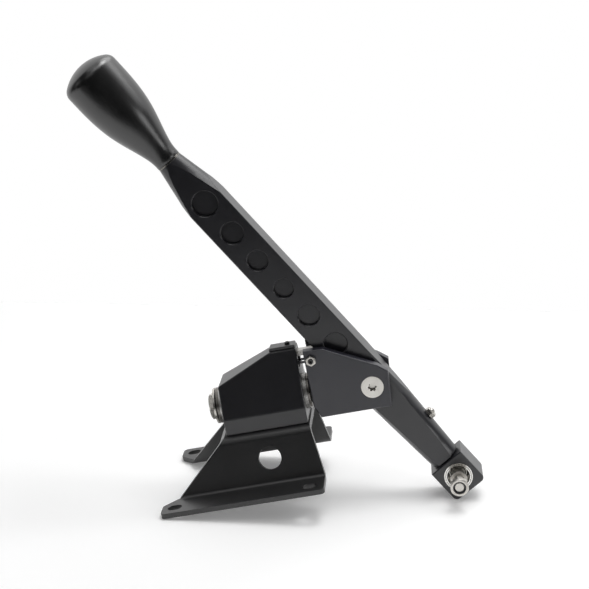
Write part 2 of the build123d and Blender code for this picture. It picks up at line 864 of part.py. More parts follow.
stop_axis = Axis((stop_screw_x, 0, stop_screw_z), (0, 1, 0))
stop_section = Plane(origin=(stop_screw_x, 0, stop_screw_z), x_dir=(0, 1, 0), z_dir=(1, 0, 0))
with BuildPart() as stop_nuts:
    for side in (-1, 1):
        with BuildSketch(stop_section):
            with BuildLine():
                Polyline(
                    *corner_outline(side * fork_half, side * (fork_half + stop_nut_height), stop_nut_flats),
                    close=True,
                )
            make_face()
        revolve(axis=stop_axis)
    with BuildSketch(Plane.XZ):
        with Locations((stop_screw_x, stop_screw_z)):
            RegularPolygon(stop_nut_flats / 2, 6, major_radius=False, rotation=30)
            Circle(stop_screw_diameter / 2 + fit_gap, mode=Mode.SUBTRACT)
    extrude(amount=fork_half + stop_nut_height, both=True, mode=Mode.INTERSECT)
finish(stop_nuts.part, "stop_nuts")

# Pivot: a tapped sleeve clamped between the ears by two flat-head screws
with BuildPart() as pivot_sleeve:
    with BuildSketch(pivot_section):
        with BuildLine():
            Polyline(
                *ring_outline(
                    -ear_inner, ear_inner, sleeve_diameter / 2, pivot_screw_diameter / 2 + fit_gap
                ),
                close=True,
            )
        make_face()
    revolve(axis=pivot_axis)
finish(pivot_sleeve.part, "pivot_sleeve")

with BuildPart() as pivot_screws:
    for side in (-1, 1):
        with BuildSketch(pivot_section):
            with BuildLine():
                Polyline(*countersink_outline(side, side * (fork_half - pivot_screw_length)), close=True)
            make_face()
        revolve(axis=pivot_axis)
        with BuildSketch(Plane.XZ.offset(side * fork_half)):
            with Locations((pivot_x, axis_z)):
                Circle(pivot_socket_radius)
                with PolarLocations(pivot_socket_radius, 6):
                    Circle(pivot_socket_lobe)
        extrude(amount=-side * pivot_socket_depth, mode=Mode.SUBTRACT)
finish(pivot_screws.part, "pivot_screws")

# Lever: a flat bar turned down to a cone at both ends
bar_corner = sqrt(lever_half_width**2 + half_lever**2) + 1
arm_slope = tan(radians(arm_taper))
arm_cone_top = (bar_corner - arm_end_radius) / arm_slope - arm_length
neck_cone_foot = neck_length - (bar_corner - neck_radius) / tan(radians(neck_taper))
lever_turning = [
    (0, -arm_length),
    (arm_end_radius - edge_break, -arm_length),
    (arm_end_radius, edge_break - arm_length),
    (bar_corner, arm_cone_top),
    (bar_corner, neck_cone_foot),
    (neck_radius, neck_length),
    (0, neck_length),
]
lever_bush_radius = sleeve_diameter / 2 + running_gap + lever_bush_wall
lock_seat = arm_end_radius + lock_screw_rise * arm_slope - lock_spot_depth
lock_spot_radius = lock_jam_flats / sqrt(3) + lock_spot_margin
lock_place = pivot - axis_up * lock_screw_drop
lock_section = Plane(origin=lock_place, x_dir=axis_rear, z_dir=(0, -1, 0))
lock_axis = Axis(lock_place, axis_rear)
lock_cross = Plane(origin=lock_place, x_dir=(0, 1, 0), z_dir=axis_rear)

with BuildPart() as lever:
    with BuildSketch(lever_side):
        with Locations((0, (neck_length - arm_length) / 2)):
            Rectangle(lever_width, neck_length + arm_length)
    extrude(amount=half_lever, both=True)
    chamfer(lever.edges().filter_by(lever_axis), length=edge_break)
    with BuildSketch(lever_side):
        with BuildLine():
            Polyline(*lever_turning, close=True)
        make_face()
    revolve(axis=lever_axis, mode=Mode.INTERSECT)
    with BuildSketch(lever_cross(neck_length)):
        Circle(stud_diameter / 2)
    extrude(amount=stud_length)
    for face_offset in (half_lever - pocket_depth, -half_lever):
        for along, radius in pocket_places:
            with BuildSketch(lever_side.offset(face_offset)):
                with Locations((0, along)):
                    Circle(radius)
            extrude(amount=pocket_depth, mode=Mode.SUBTRACT)
    pocket_rims = lever.edges().filter_by(GeomType.CIRCLE).filter_by(
        lambda edge: abs(abs(edge.center().Y) - half_lever) < edge_break / 10
    )
    chamfer(pocket_rims, length=pocket_break)
    with BuildSketch(lever_side):
        Circle(lever_bush_radius + fit_gap)
    extrude(amount=half_lever, both=True, mode=Mode.SUBTRACT)
    with BuildSketch(lever_cross(-arm_length)):
        Circle(stem_diameter / 2 + running_gap)
    extrude(amount=arm_length - stem_top_drop + stem_end_gap, mode=Mode.SUBTRACT)
    with BuildSketch(lock_cross):
        Circle(lock_screw_diameter / 2 + fit_gap)
    extrude(amount=lever_width, mode=Mode.SUBTRACT)
    with BuildSketch(lock_cross.offset(lock_seat)):
        Circle(lock_spot_radius)
    extrude(amount=lever_width, mode=Mode.SUBTRACT)
finish(lever.part, "lever")

with BuildPart() as lever_bushes:
    for side in (-1, 1):
        flange_face = side * half_lever
        flange_end = side * (half_lever + lever_bush_flange_thickness)
        bush_end = side * (half_lever - lever_bush_length)
        bush_bore = sleeve_diameter / 2 + running_gap
        with BuildSketch(pivot_section):
            with BuildLine():
                Polyline(
                    (flange_end, bush_bore),
                    (flange_end, lever_bush_flange / 2),
                    (flange_face, lever_bush_flange / 2),
                    (flange_face, lever_bush_radius),
                    (bush_end, lever_bush_radius),
                    (bush_end, bush_bore),
                    close=True,
                )
            make_face()
        revolve(axis=pivot_axis)
finish(lever_bushes.part, "lever_bushes")

# Knob and the ring under it
knob_foot = neck_length + collar_thickness
knob_top = knob_foot + knob_height
knob_widest = knob_foot + knob_widest_rise
knob_edge = knob_top - knob_dome_radius + sqrt(knob_dome_radius**2 - knob_radius**2)
stud_bore = stud_diameter / 2 + fit_gap
stud_bore_top = neck_length + stud_length + stud_end_gap
dome_middle = knob_radius / 2
dome_middle_length = knob_top - knob_dome_radius + sqrt(knob_dome_radius**2 - dome_middle**2)
with BuildPart() as knob:
    with BuildSketch(lever_side):
        with BuildLine():
            Spline(
                (knob_foot_radius, knob_foot + knob_skirt),
                (knob_waist_radius, knob_foot + knob_waist_rise),
                (knob_girth_radius, knob_foot + knob_girth_rise),
                (knob_radius, knob_widest),
                tangents=((0, 1), (0, 1)),
            )
            Line((knob_radius, knob_widest), (knob_radius, knob_edge))
            ThreePointArc((knob_radius, knob_edge), (dome_middle, dome_middle_length), (0, knob_top))
            Polyline(
                (0, knob_top),
                (0, stud_bore_top),
                (stud_bore, stud_bore_top),
                (stud_bore, knob_foot),
                (knob_foot_radius, knob_foot),
                (knob_foot_radius, knob_foot + knob_skirt),
            )
        make_face()
    revolve(axis=lever_axis)
    rim = knob.edges().filter_by(lambda edge: abs((edge.center() - pivot).dot(axis_up) - knob_edge) < 0.1)
    fillet(rim, radius=knob_rim_radius)
finish(knob.part, "knob")

with BuildPart() as knob_collar:
    with BuildSketch(lever_side):
        with BuildLine():
            Polyline(
                (stud_bore, neck_length),
                (neck_radius, neck_length),
                (neck_radius, knob_foot),
                (stud_bore, knob_foot),
                close=True,
            )
        make_face()
    revolve(axis=lever_axis)
finish(knob_collar.part, "knob_collar")

# Throw lock: a set screw on the stem's flat, and its jam nut
stem_radius = stem_diameter / 2
flat_distance = stem_radius - stem_flat
lock_nut_end = lock_seat + lock_jam_height
stem_flat_length = throw_travel + stem_grip + lock_screw_diameter / 2 + stem_flat_margin
with BuildPart() as throw_screw:
    with BuildSketch(lock_cross.offset(flat_distance + running_gap)):
        Circle(lock_screw_diameter / 2)
    extrude(amount=lock_nut_end + lock_screw_stand - flat_distance)
    chamfer(throw_screw.edges().filter_by(GeomType.CIRCLE), length=edge_break)
    with BuildSketch(lock_cross.offset(lock_nut_end + lock_screw_stand + running_gap)):
        RegularPolygon(lock_screw_diameter / 4, 6, major_radius=False)
    extrude(amount=-lock_screw_diameter / 2, mode=Mode.SUBTRACT)
finish(throw_screw.part, "throw_screw")

with BuildPart() as throw_nut:
    with BuildSketch(lock_section):
        with BuildLine():
            Polyline(*corner_outline(lock_seat, lock_nut_end, lock_jam_flats), close=True)
        make_face()
    revolve(axis=lock_axis)
    with BuildSketch(lock_cross.offset(lock_seat)):
        RegularPolygon(lock_jam_flats / 2, 6, major_radius=False)
        Circle(lock_screw_diameter / 2 + fit_gap, mode=Mode.SUBTRACT)
    extrude(amount=lock_jam_height, mode=Mode.INTERSECT)
finish(throw_nut.part, "throw_nut")

# Bearing block with its stem
with BuildPart() as bearing_block:
    with BuildSketch(lever_side):
        with Locations((0, -block_distance)):
            Rectangle(block_size, block_size)
    extrude(amount=block_half_thickness, both=True)
    fillet(bearing_block.edges().filter_by(Axis.Y).sort_by(lever_axis)[:2], radius=block_corner)
    block_faces = bearing_block.faces().sort_by(Axis.Y)
    chamfer(block_faces[0].edges() + block_faces[-1].edges(), length=edge_break)
    with BuildSketch(lever_cross(-arm_length - block_gap)):
        Circle(stem_radius)
    extrude(amount=arm_length + block_gap - stem_top_drop)
    with BuildSketch(lever_side):
        with Locations((flat_distance, -stem_top_drop)):
            Rectangle(stem_radius, stem_flat_length, align=(Align.MIN, Align.MAX))
    extrude(amount=stem_radius, both=True, mode=Mode.SUBTRACT)
    with BuildSketch(lever_side):
        with Locations((0, -block_distance)):
            Circle(race_diameter / 2 + fit_gap)
    extrude(amount=block_half_thickness, both=True, mode=Mode.SUBTRACT)
finish(bearing_block.part, "bearing_block")

# Spherical bearing
link_section = Plane(origin=block_centre, x_dir=(0, 1, 0), z_dir=(1, 0, 0))
link_axis = Axis(block_centre, (0, 1, 0))
race_half = block_half_thickness - race_recess
seat_half = race_seat_width / 2
seat_radius = ball_diameter / 2 + running_gap
seat_edge = sqrt(seat_radius**2 - seat_half**2)
groove_half = race_groove_width / 2
with BuildPart() as bearing_race:
    with BuildSketch(link_section):
        with BuildLine():
            ThreePointArc((-seat_half, seat_edge), (0, seat_radius), (seat_half, seat_edge))
            Polyline(
                (seat_half, seat_edge),
                (race_half, race_mouth_radius),
                (race_half, race_groove_radius - groove_half),
                (race_half - race_groove_width, race_groove_radius),
                (race_half, race_groove_radius + groove_half),
                (race_half, race_diameter / 2),
                (-race_half, race_diameter / 2),
                (-race_half, race_groove_radius + groove_half),
                (race_groove_width - race_half, race_groove_radius),
                (-race_half, race_groove_radius - groove_half),
                (-race_half, race_mouth_radius),
                (-seat_half, seat_edge),
            )
        make_face()
    revolve(axis=link_axis)
finish(bearing_race.part, "bearing_race")

ball_half = ball_width / 2
ball_radius = ball_diameter / 2
ball_face_radius = sqrt(ball_radius**2 - ball_half**2)
link_radius = link_diameter / 2
with BuildPart() as bearing_ball:
    with BuildSketch(link_section):
        with BuildLine():
            ThreePointArc((-ball_half, ball_face_radius), (0, ball_radius), (ball_half, ball_face_radius))
            Polyline(
                (ball_half, ball_face_radius),
                (ball_half, link_radius + running_gap),
                (-ball_half, link_radius + running_gap),
                (-ball_half, ball_face_radius),
            )
        make_face()
    revolve(axis=link_axis)
finish(bearing_ball.part, "bearing_ball")

# Link bolt through the ball: spacers, washers, a lock nut and a pin on its head
head_start = far_spacer_end + link_washer
head_end = head_start + link_head_height
link_pin_end = head_end + link_pin_length
near_washer_start = -near_spacer_end
near_washer_end = near_washer_start - link_washer
nut_start = near_washer_end - lock_nut_standoff
nut_end = nut_start - lock_nut_height
hex_end = nut_start - lock_nut_hex
link_bore = link_radius + fit_gap
with BuildPart() as link_bolt:
    with BuildSketch(link_section):
        with BuildLine():
            Polyline(*corner_outline(head_start, head_end, link_flats), close=True)
        make_face()
    revolve(axis=link_axis)
    with BuildSketch(Plane(origin=block_centre, x_dir=axis_rear, z_dir=(0, -1, 0))):
        RegularPolygon(link_flats / 2, 6, major_radius=False)
    extrude(amount=-head_end, mode=Mode.INTERSECT)
    with BuildSketch(link_section):
        with BuildLine():
            Polyline(
                (link_pin_end, 0),
                (link_pin_end, link_radius - edge_break),
                (link_pin_end - edge_break, link_radius),
                (nut_end + bolt_recess + edge_break, link_radius),
                (nut_end + bolt_recess, link_radius - edge_break),
                (nut_end + bolt_recess, 0),
                close=True,
            )
        make_face()
    revolve(axis=link_axis)
finish(link_bolt.part, "link_bolt")

with BuildPart() as link_spacers:
    for side, spacer_end in ((-1, near_spacer_end), (1, far_spacer_end)):
        spacer_start = ball_half + face_gap
        with BuildSketch(link_section):
            with BuildLine():
                Polyline(
                    (side * spacer_start, link_bore),
                    (side * spacer_start, spacer_tip_radius),
                    (side * (spacer_start + spacer_taper), spacer_radius),
                    (side * spacer_end, spacer_radius),
                    (side * spacer_end, link_bore),
                    close=True,
                )
            make_face()
        revolve(axis=link_axis)
finish(link_spacers.part, "link_spacers")

with BuildPart() as link_washers:
    for washer_start, washer_end in ((near_washer_start, near_washer_end), (far_spacer_end, head_start)):
        with BuildSketch(link_section):
            with BuildLine():
                Polyline(
                    *ring_outline(washer_start, washer_end, link_washer_diameter / 2, link_bore),
                    close=True,
                )
            make_face()
        revolve(axis=link_axis)
finish(link_washers.part, "link_washers")

insert_start = nut_end + insert_width
with BuildPart() as link_nut:
    with BuildSketch(link_section):
        with BuildLine():
            Polyline(*corner_outline(nut_start, hex_end, link_flats), close=True)
        make_face()
    revolve(axis=link_axis)
    with BuildSketch(Plane(origin=block_centre, x_dir=axis_rear, z_dir=(0, -1, 0))):
        RegularPolygon(link_flats / 2, 6, major_radius=False)
    extrude(amount=-hex_end, mode=Mode.INTERSECT)
    with BuildSketch(link_section):
        with BuildLine():
            Polyline(
                (hex_end, 0),
                (hex_end, lock_nut_collar),
                (nut_end + edge_break, lock_nut_collar),
                (nut_end, lock_nut_collar - edge_break),
                (nut_end, 0),
                close=True,
            )
        make_face()
    revolve(axis=link_axis)
    with BuildSketch(link_section):
        with BuildLine():
            Polyline(
                (nut_start, 0),
                (nut_start, link_bore),
                (insert_start, link_bore),
                (insert_start, insert_radius + fit_gap),
                (nut_end, insert_radius + fit_gap),
                (nut_end, 0),
                close=True,
            )
        make_face()
    revolve(axis=link_axis, mode=Mode.SUBTRACT)
finish(link_nut.part, "link_nut")

with BuildPart() as nut_insert:
    with BuildSketch(link_section):
        with BuildLine():
            Polyline(
                *ring_outline(insert_start, nut_end + insert_recess, insert_radius, link_bore),
                close=True,
            )
        make_face()
    revolve(axis=link_axis)
finish(nut_insert.part, "nut_insert")
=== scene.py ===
"""Dressed model of a short shifter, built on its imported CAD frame.

Metres throughout. +X points to the rear of the car, +Y to the far side of the
photograph, +Z up from the undersides of the feet. In the photograph the part
lies on a table on its front feet and its bearing block, so the table is tilted.
"""

import json
import logging
import math
from dataclasses import dataclass, field
from enum import Enum
from typing import Callable, Iterable, Sequence

import bmesh
import bpy
import numpy as np
from mathutils import Matrix, Vector


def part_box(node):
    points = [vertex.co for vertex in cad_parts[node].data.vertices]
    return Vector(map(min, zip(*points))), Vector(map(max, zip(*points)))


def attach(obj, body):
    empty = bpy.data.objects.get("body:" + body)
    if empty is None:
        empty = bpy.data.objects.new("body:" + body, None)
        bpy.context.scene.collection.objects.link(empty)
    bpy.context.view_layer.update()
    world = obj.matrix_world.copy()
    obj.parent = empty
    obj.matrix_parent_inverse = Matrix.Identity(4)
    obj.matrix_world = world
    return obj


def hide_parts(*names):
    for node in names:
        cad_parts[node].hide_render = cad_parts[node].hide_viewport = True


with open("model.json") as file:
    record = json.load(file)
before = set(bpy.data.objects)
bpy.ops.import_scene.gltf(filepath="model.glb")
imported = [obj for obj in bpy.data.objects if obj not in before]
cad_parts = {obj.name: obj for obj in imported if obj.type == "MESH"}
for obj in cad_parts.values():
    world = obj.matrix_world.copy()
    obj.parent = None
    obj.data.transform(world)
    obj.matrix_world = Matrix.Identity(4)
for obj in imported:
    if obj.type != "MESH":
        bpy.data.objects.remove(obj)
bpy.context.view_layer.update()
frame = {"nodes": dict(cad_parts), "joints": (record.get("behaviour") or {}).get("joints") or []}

log = logging.getLogger("shifter")

Colour = tuple[float, float, float]
Point = tuple[float, float, float]
Ring = tuple[float, Callable[[float], float]]
MM = 0.001
WHITE: Colour = (1.0, 1.0, 1.0)
JOINTS = {joint["name"]: joint for joint in frame["joints"]}


def joint_place(name: str) -> Vector:
    """Find the place of one of the frame's joints, in metres."""
    return Vector(JOINTS[name]["pos_m"])


# The lever leans to the front by this angle at rest.
LEAN = math.radians(31.0)
LEVER_UP = Vector((-math.sin(LEAN), 0.0, math.cos(LEAN)))
LEVER_REAR = Vector((math.cos(LEAN), 0.0, math.sin(LEAN)))
ACROSS = Vector((0.0, 1.0, 0.0))
REARWARD = Vector((1.0, 0.0, 0.0))
PIVOT = joint_place("lever_pitch")
ROLL = joint_place("fork_roll")
BALL = joint_place("ball_tilt")
# On the axes of the throw's set screw, the stop screws and the gate tongue.
LOCK = PIVOT - LEVER_UP * (49.5 * MM)
STOPS = Vector((0.068, 0.0, 0.09))
TONGUE = Vector((0.03, 0.0, 0.0))


# Node trees


class Graph:
    """Adds nodes and links to one node tree."""

    def __init__(self, tree: bpy.types.NodeTree) -> None:
        """Take the tree that the nodes go into."""
        self.tree = tree

    def node(self, kind: str, **settings: object) -> bpy.types.Node:
        """Add a node.

        Args:
            kind: The node's type name.
            settings: Properties to set on it.

        Returns:
            The new node.
        """
        made = self.tree.nodes.new(kind)
        for key, value in settings.items():
            setattr(made, key, value)
        return made

    def put(self, source: object, target: bpy.types.NodeSocket) -> None:
        """Link a socket to an input, or set the input to a value.

        Args:
            source: A socket or a value.
            target: The input.
        """
        if isinstance(source, bpy.types.NodeSocket):
            self.tree.links.new(source, target)
        else:
            target.default_value = source

    def tint(self, colour: object, target: bpy.types.NodeSocket) -> None:
        """Link a socket to a colour input, or set the input to a colour."""
        self.put((*colour, 1.0) if isinstance(colour, tuple) else colour, target)

    def math(self, operation: str, *terms: object, clamp: bool = False) -> bpy.types.NodeSocket:
        """Add a Math node.

        Args:
            operation: The node's operation.
            terms: Sockets or numbers for its inputs, in order.
            clamp: Whether the result stays between 0 and 1.

        Returns:
            Its result.
        """
        made = self.node("ShaderNodeMath", operation=operation, use_clamp=clamp)
        for term, target in zip(terms, made.inputs):
            self.put(term, target)
        return made.outputs[0]

    def vector(self, operation: str, *terms: object) -> bpy.types.Node:
        """Add a Vector Math node.

        Args:
            operation: The node's operation.
            terms: Sockets or vectors for its inputs, in order.

        Returns:
            The node, whose outputs are Vector and Value.
        """
        made = self.node("ShaderNodeVectorMath", operation=operation)
        for term, target in zip(terms, made.inputs):
            self.put(term, target)
        return made

    def mapped(self, value: bpy.types.NodeSocket, low: float, high: float, to_low: float = 0.0,
               to_high: float = 1.0) -> bpy.types.NodeSocket:
        """Map a value from one range to another, clamped and eased at both ends.

        Args:
            value: The value's socket.
            low: Where the first range starts.
            high: Where it ends.
            to_low: What the start becomes.
            to_high: What the end becomes.

        Returns:
            The mapped value.
        """
        made = self.node("ShaderNodeMapRange", interpolation_type="SMOOTHSTEP")
        names = ("Value", "From Min", "From Max", "To Min", "To Max")
        for term, name in zip((value, low, high, to_low, to_high), names):
            self.put(term, made.inputs[name])
        return made.outputs["Result"]

    def mixed(self, share: object, first: object, second: object) -> bpy.types.NodeSocket:
        """Mix two colours.

        Args:
            share: How much of the second colour shows.
            first: The first colour.
            second: The second colour.

        Returns:
            The mixed colour.
        """
        made = self.node("ShaderNodeMix", data_type="RGBA")
        # The node has inputs of the same name for each kind of data, so these go by their numbers.
        factor, colour_a, colour_b, result = made.inputs[0], made.inputs[6], made.inputs[7], made.outputs[2]
        self.put(share, factor)
        self.tint(first, colour_a)
        self.tint(second, colour_b)
        return result

    def background(self, colour: object, strength: float = 1.0) -> bpy.types.NodeSocket:
        """Add a Background shader.

        Args:
            colour: A socket or a colour.
            strength: Its strength.

        Returns:
            The shader.
        """
        made = self.node("ShaderNodeBackground")
        self.tint(colour, made.inputs["Color"])
        made.inputs["Strength"].default_value = strength
        return made.outputs[0]

    def either(self, share: object, first: bpy.types.NodeSocket,
               second: bpy.types.NodeSocket) -> bpy.types.NodeSocket:
        """Mix two shaders.

        Args:
            share: How much of the second shader shows.
            first: The first shader.
            second: The second shader.

        Returns:
            The mixed shader.
        """
        made = self.node("ShaderNodeMixShader")
        for term, target in zip((share, first, second), made.inputs):
            self.put(term, target)
        return made.outputs[0]

    def noise(self, vector: object, scale: object, detail: float = 2.0,
              roughness: float = 0.5) -> bpy.types.NodeSocket:
        """Add a Noise Texture.

        Args:
            vector: Its coordinates.
            scale: Its scale.
            detail: How many finer layers it has.
            roughness: How strong those are.

        Returns:
            Its value, from 0 to 1.
        """
        made = self.node("ShaderNodeTexNoise")
        self.put(vector, made.inputs["Vector"])
        self.put(scale, made.inputs["Scale"])
        made.inputs["Detail"].default_value = detail
        made.inputs["Roughness"].default_value = roughness
        return made.outputs["Fac"]


class SocketKind(Enum):
    """Kinds of socket that an effect has."""

    VALUE = "NodeSocketFloat"
    VECTOR = "NodeSocketVector"


@dataclass(frozen=True)
class Effect:
    """A surface effect that several finishes share, kept as one node group.

    Args:
        name: The group's name.
        inputs: Its inputs, by name, with their kinds and defaults.
        outputs: Its outputs, by name, with their kinds.
        fill: What builds the nodes between them.
    """

    name: str
    inputs: dict[str, tuple[SocketKind, object]]
    outputs: dict[str, SocketKind]
    fill: Callable[[Graph, bpy.types.Node, bpy.types.Node], None]

    def group(self) -> bpy.types.NodeTree:
        """Build the node group, or find it where it was built before.

        Returns:
            The node group.
        """
        made = bpy.data.node_groups.get(self.name)
        if made:
            return made
        made = bpy.data.node_groups.new(self.name, "ShaderNodeTree")
        for name, (kind, default) in self.inputs.items():
            socket = made.interface.new_socket(name, in_out="INPUT", socket_type=kind.value)
            socket.default_value = default
        for name, kind in self.outputs.items():
            made.interface.new_socket(name, in_out="OUTPUT", socket_type=kind.value)
        graph = Graph(made)
        self.fill(graph, graph.node("NodeGroupInput"), graph.node("NodeGroupOutput"))
        return made

    def place(self, graph: Graph, **values: object) -> bpy.types.Node:
        """Put the effect into a material.

        Args:
            graph: The material's graph.
            values: Values for its inputs, whose names are written with underscores.

        Returns:
            The group node.
        """
        made = graph.node("ShaderNodeGroup", node_tree=self.group())
        for name, value in values.items():
            graph.put(value, made.inputs[name.replace("_", " ").capitalize()])
        return made


def fill_edge_wear(graph: Graph, given: bpy.types.Node, result: bpy.types.Node) -> None:
    """Find edges from the difference between rounded and true normals, broken up by noise.

    Args:
        graph: The group's graph.
        given: Its input node.
        result: Its output node.
    """
    rounded = graph.node("ShaderNodeBevel", samples=6)
    graph.put(given.outputs["Width"], rounded.inputs["Radius"])
    surface = graph.node("ShaderNodeNewGeometry")
    likeness = graph.vector("DOT_PRODUCT", rounded.outputs[0], surface.outputs["Normal"]).outputs["Value"]
    edge = graph.mapped(graph.math("SUBTRACT", 1.0, likeness), low=0.004, high=0.12)
    place = graph.node("ShaderNodeTexCoord").outputs["Object"]
    patches = graph.mapped(graph.noise(place, scale=420.0, detail=3.0, roughness=0.62), low=0.38, high=0.66)
    patch_share = 0.65
    spread = graph.math("MULTIPLY_ADD", patches, patch_share, 1.0 - patch_share)
    worn = graph.math("MULTIPLY", edge, spread)
    graph.put(graph.math("MULTIPLY", worn, given.outputs["Amount"], clamp=True), result.inputs["Mask"])
    graph.put(rounded.outputs[0], result.inputs["Rounded"])


def fill_grain(graph: Graph, given: bpy.types.Node, result: bpy.types.Node) -> None:
    """Fine grain over slower waves, as blasting or a sprayed coat leaves it.

    Args:
        graph: The group's graph.
        given: Its input node.
        result: Its output node.
    """
    place = graph.node("ShaderNodeTexCoord").outputs["Object"]
    wave_share = 0.22
    fine_scale = graph.math("DIVIDE", 1.0, given.outputs["Size"])
    wave_scale = graph.math("DIVIDE", wave_share, given.outputs["Size"])
    fine = graph.noise(place, fine_scale, detail=3.0, roughness=0.6)
    waves = graph.noise(place, wave_scale, detail=1.0, roughness=0.5)
    height = graph.math("MULTIPLY_ADD", waves, given.outputs["Waviness"], fine)
    graph.put(height, result.inputs["Height"])
    graph.put(graph.mapped(fine, low=0.3, high=0.7), result.inputs["Speckle"])


def fill_handling(graph: Graph, given: bpy.types.Node, result: bpy.types.Node) -> None:
    """Slow blotches and a few faint wipes, where the part was handled.

    Args:
        graph: The group's graph.
        given: Its input node.
        result: Its output node.
    """
    place = graph.node("ShaderNodeTexCoord").outputs["Object"]
    blotch = graph.mapped(graph.noise(place, scale=38.0, detail=4.0, roughness=0.6), low=0.35, high=0.7)
    wipe_scales = (260.0, 90.0, 34.0)
    stretched = graph.vector("MULTIPLY", place, wipe_scales).outputs["Vector"]
    wipes = graph.mapped(graph.noise(stretched, scale=1.0), low=0.58, high=0.8)
    half = 0.5
    both = graph.math("MULTIPLY_ADD", wipes, half, graph.math("MULTIPLY", blotch, half))
    graph.put(graph.math("MULTIPLY", both, given.outputs["Amount"], clamp=True), result.inputs["Mask"])


def fill_dust(graph: Graph, given: bpy.types.Node, result: bpy.types.Node) -> None:
    """Sparse specks of dust that lie on the faces that look up.

    Args:
        graph: The group's graph.
        given: Its input node.
        result: Its output node.
    """
    surface = graph.node("ShaderNodeNewGeometry")
    rise = graph.vector("DOT_PRODUCT", surface.outputs["Normal"], (0.0, 0.0, 1.0)).outputs["Value"]
    place = graph.node("ShaderNodeTexCoord").outputs["Object"]
    specks = graph.node("ShaderNodeTexVoronoi", feature="F1")
    graph.put(place, specks.inputs["Vector"])
    specks_per_metre = 900.0
    specks.inputs["Scale"].default_value = specks_per_metre
    dot = graph.mapped(specks.outputs["Distance"], low=0.04, high=0.16, to_low=1.0, to_high=0.0)
    where = graph.mapped(graph.noise(place, scale=120.0), low=0.52, high=0.7)
    film = graph.math("MULTIPLY", graph.mapped(rise, low=0.2, high=0.95), given.outputs["Amount"])
    graph.put(graph.math("MULTIPLY", film, graph.math("MULTIPLY", dot, where)), result.inputs["Mask"])


def fill_turning(graph: Graph, given: bpy.types.Node, result: bpy.types.Node) -> None:
    """Tool marks of a lathe: rings round an axis, on ends and sides alike.

    Args:
        graph: The group's graph.
        given: Its input node.
        result: Its output node.
    """
    place = graph.node("ShaderNodeTexCoord").outputs["Object"]
    reach = graph.vector("SUBTRACT", place, given.outputs["Centre"]).outputs["Vector"]
    along = graph.vector("DOT_PRODUCT", reach, given.outputs["Axis"]).outputs["Value"]
    axis_part = graph.vector("MULTIPLY", given.outputs["Axis"], along).outputs["Vector"]
    outward = graph.vector("SUBTRACT", reach, axis_part).outputs["Vector"]
    radius = graph.vector("LENGTH", outward).outputs["Value"]
    walk = graph.math("DIVIDE", graph.math("ADD", radius, along), given.outputs["Pitch"])
    line = graph.node("ShaderNodeTexNoise", noise_dimensions="1D")
    graph.put(walk, line.inputs["W"])
    line.inputs["Scale"].default_value = 1.0
    line.inputs["Detail"].default_value = 3.0
    graph.put(line.outputs["Fac"], result.inputs["Height"])
    graph.put(graph.mapped(line.outputs["Fac"], low=0.35, high=0.65), result.inputs["Mask"])


EDGE_WEAR = Effect(
    "edge_wear",
    {"Width": (SocketKind.VALUE, 0.0005), "Amount": (SocketKind.VALUE, 0.5)},
    {"Mask": SocketKind.VALUE, "Rounded": SocketKind.VECTOR},
    fill_edge_wear,
)
GRAIN = Effect(
    "surface_grain",
    {"Size": (SocketKind.VALUE, 0.0004), "Waviness": (SocketKind.VALUE, 0.5)},
    {"Height": SocketKind.VALUE, "Speckle": SocketKind.VALUE},
    fill_grain,
)
HANDLING = Effect(
    "handling_marks",
    {"Amount": (SocketKind.VALUE, 0.5)},
    {"Mask": SocketKind.VALUE},
    fill_handling,
)
DUST = Effect(
    "settled_dust",
    {"Amount": (SocketKind.VALUE, 0.3)},
    {"Mask": SocketKind.VALUE},
    fill_dust,
)
TURNING = Effect(
    "turning_marks",
    {
        "Centre": (SocketKind.VECTOR, (0.0, 0.0, 0.0)),
        "Axis": (SocketKind.VECTOR, (0.0, 1.0, 0.0)),
        "Pitch": (SocketKind.VALUE, 0.0003),
    },
    {"Height": SocketKind.VALUE, "Mask": SocketKind.VALUE},
    fill_turning,
)


# Finishes


def lightened(colour: Colour, factor: float, offset: float = 0.0) -> Colour:
    """Multiply the parts of a colour and raise them, up to 1."""
    return tuple(min(1.0, part * factor + offset) for part in colour)


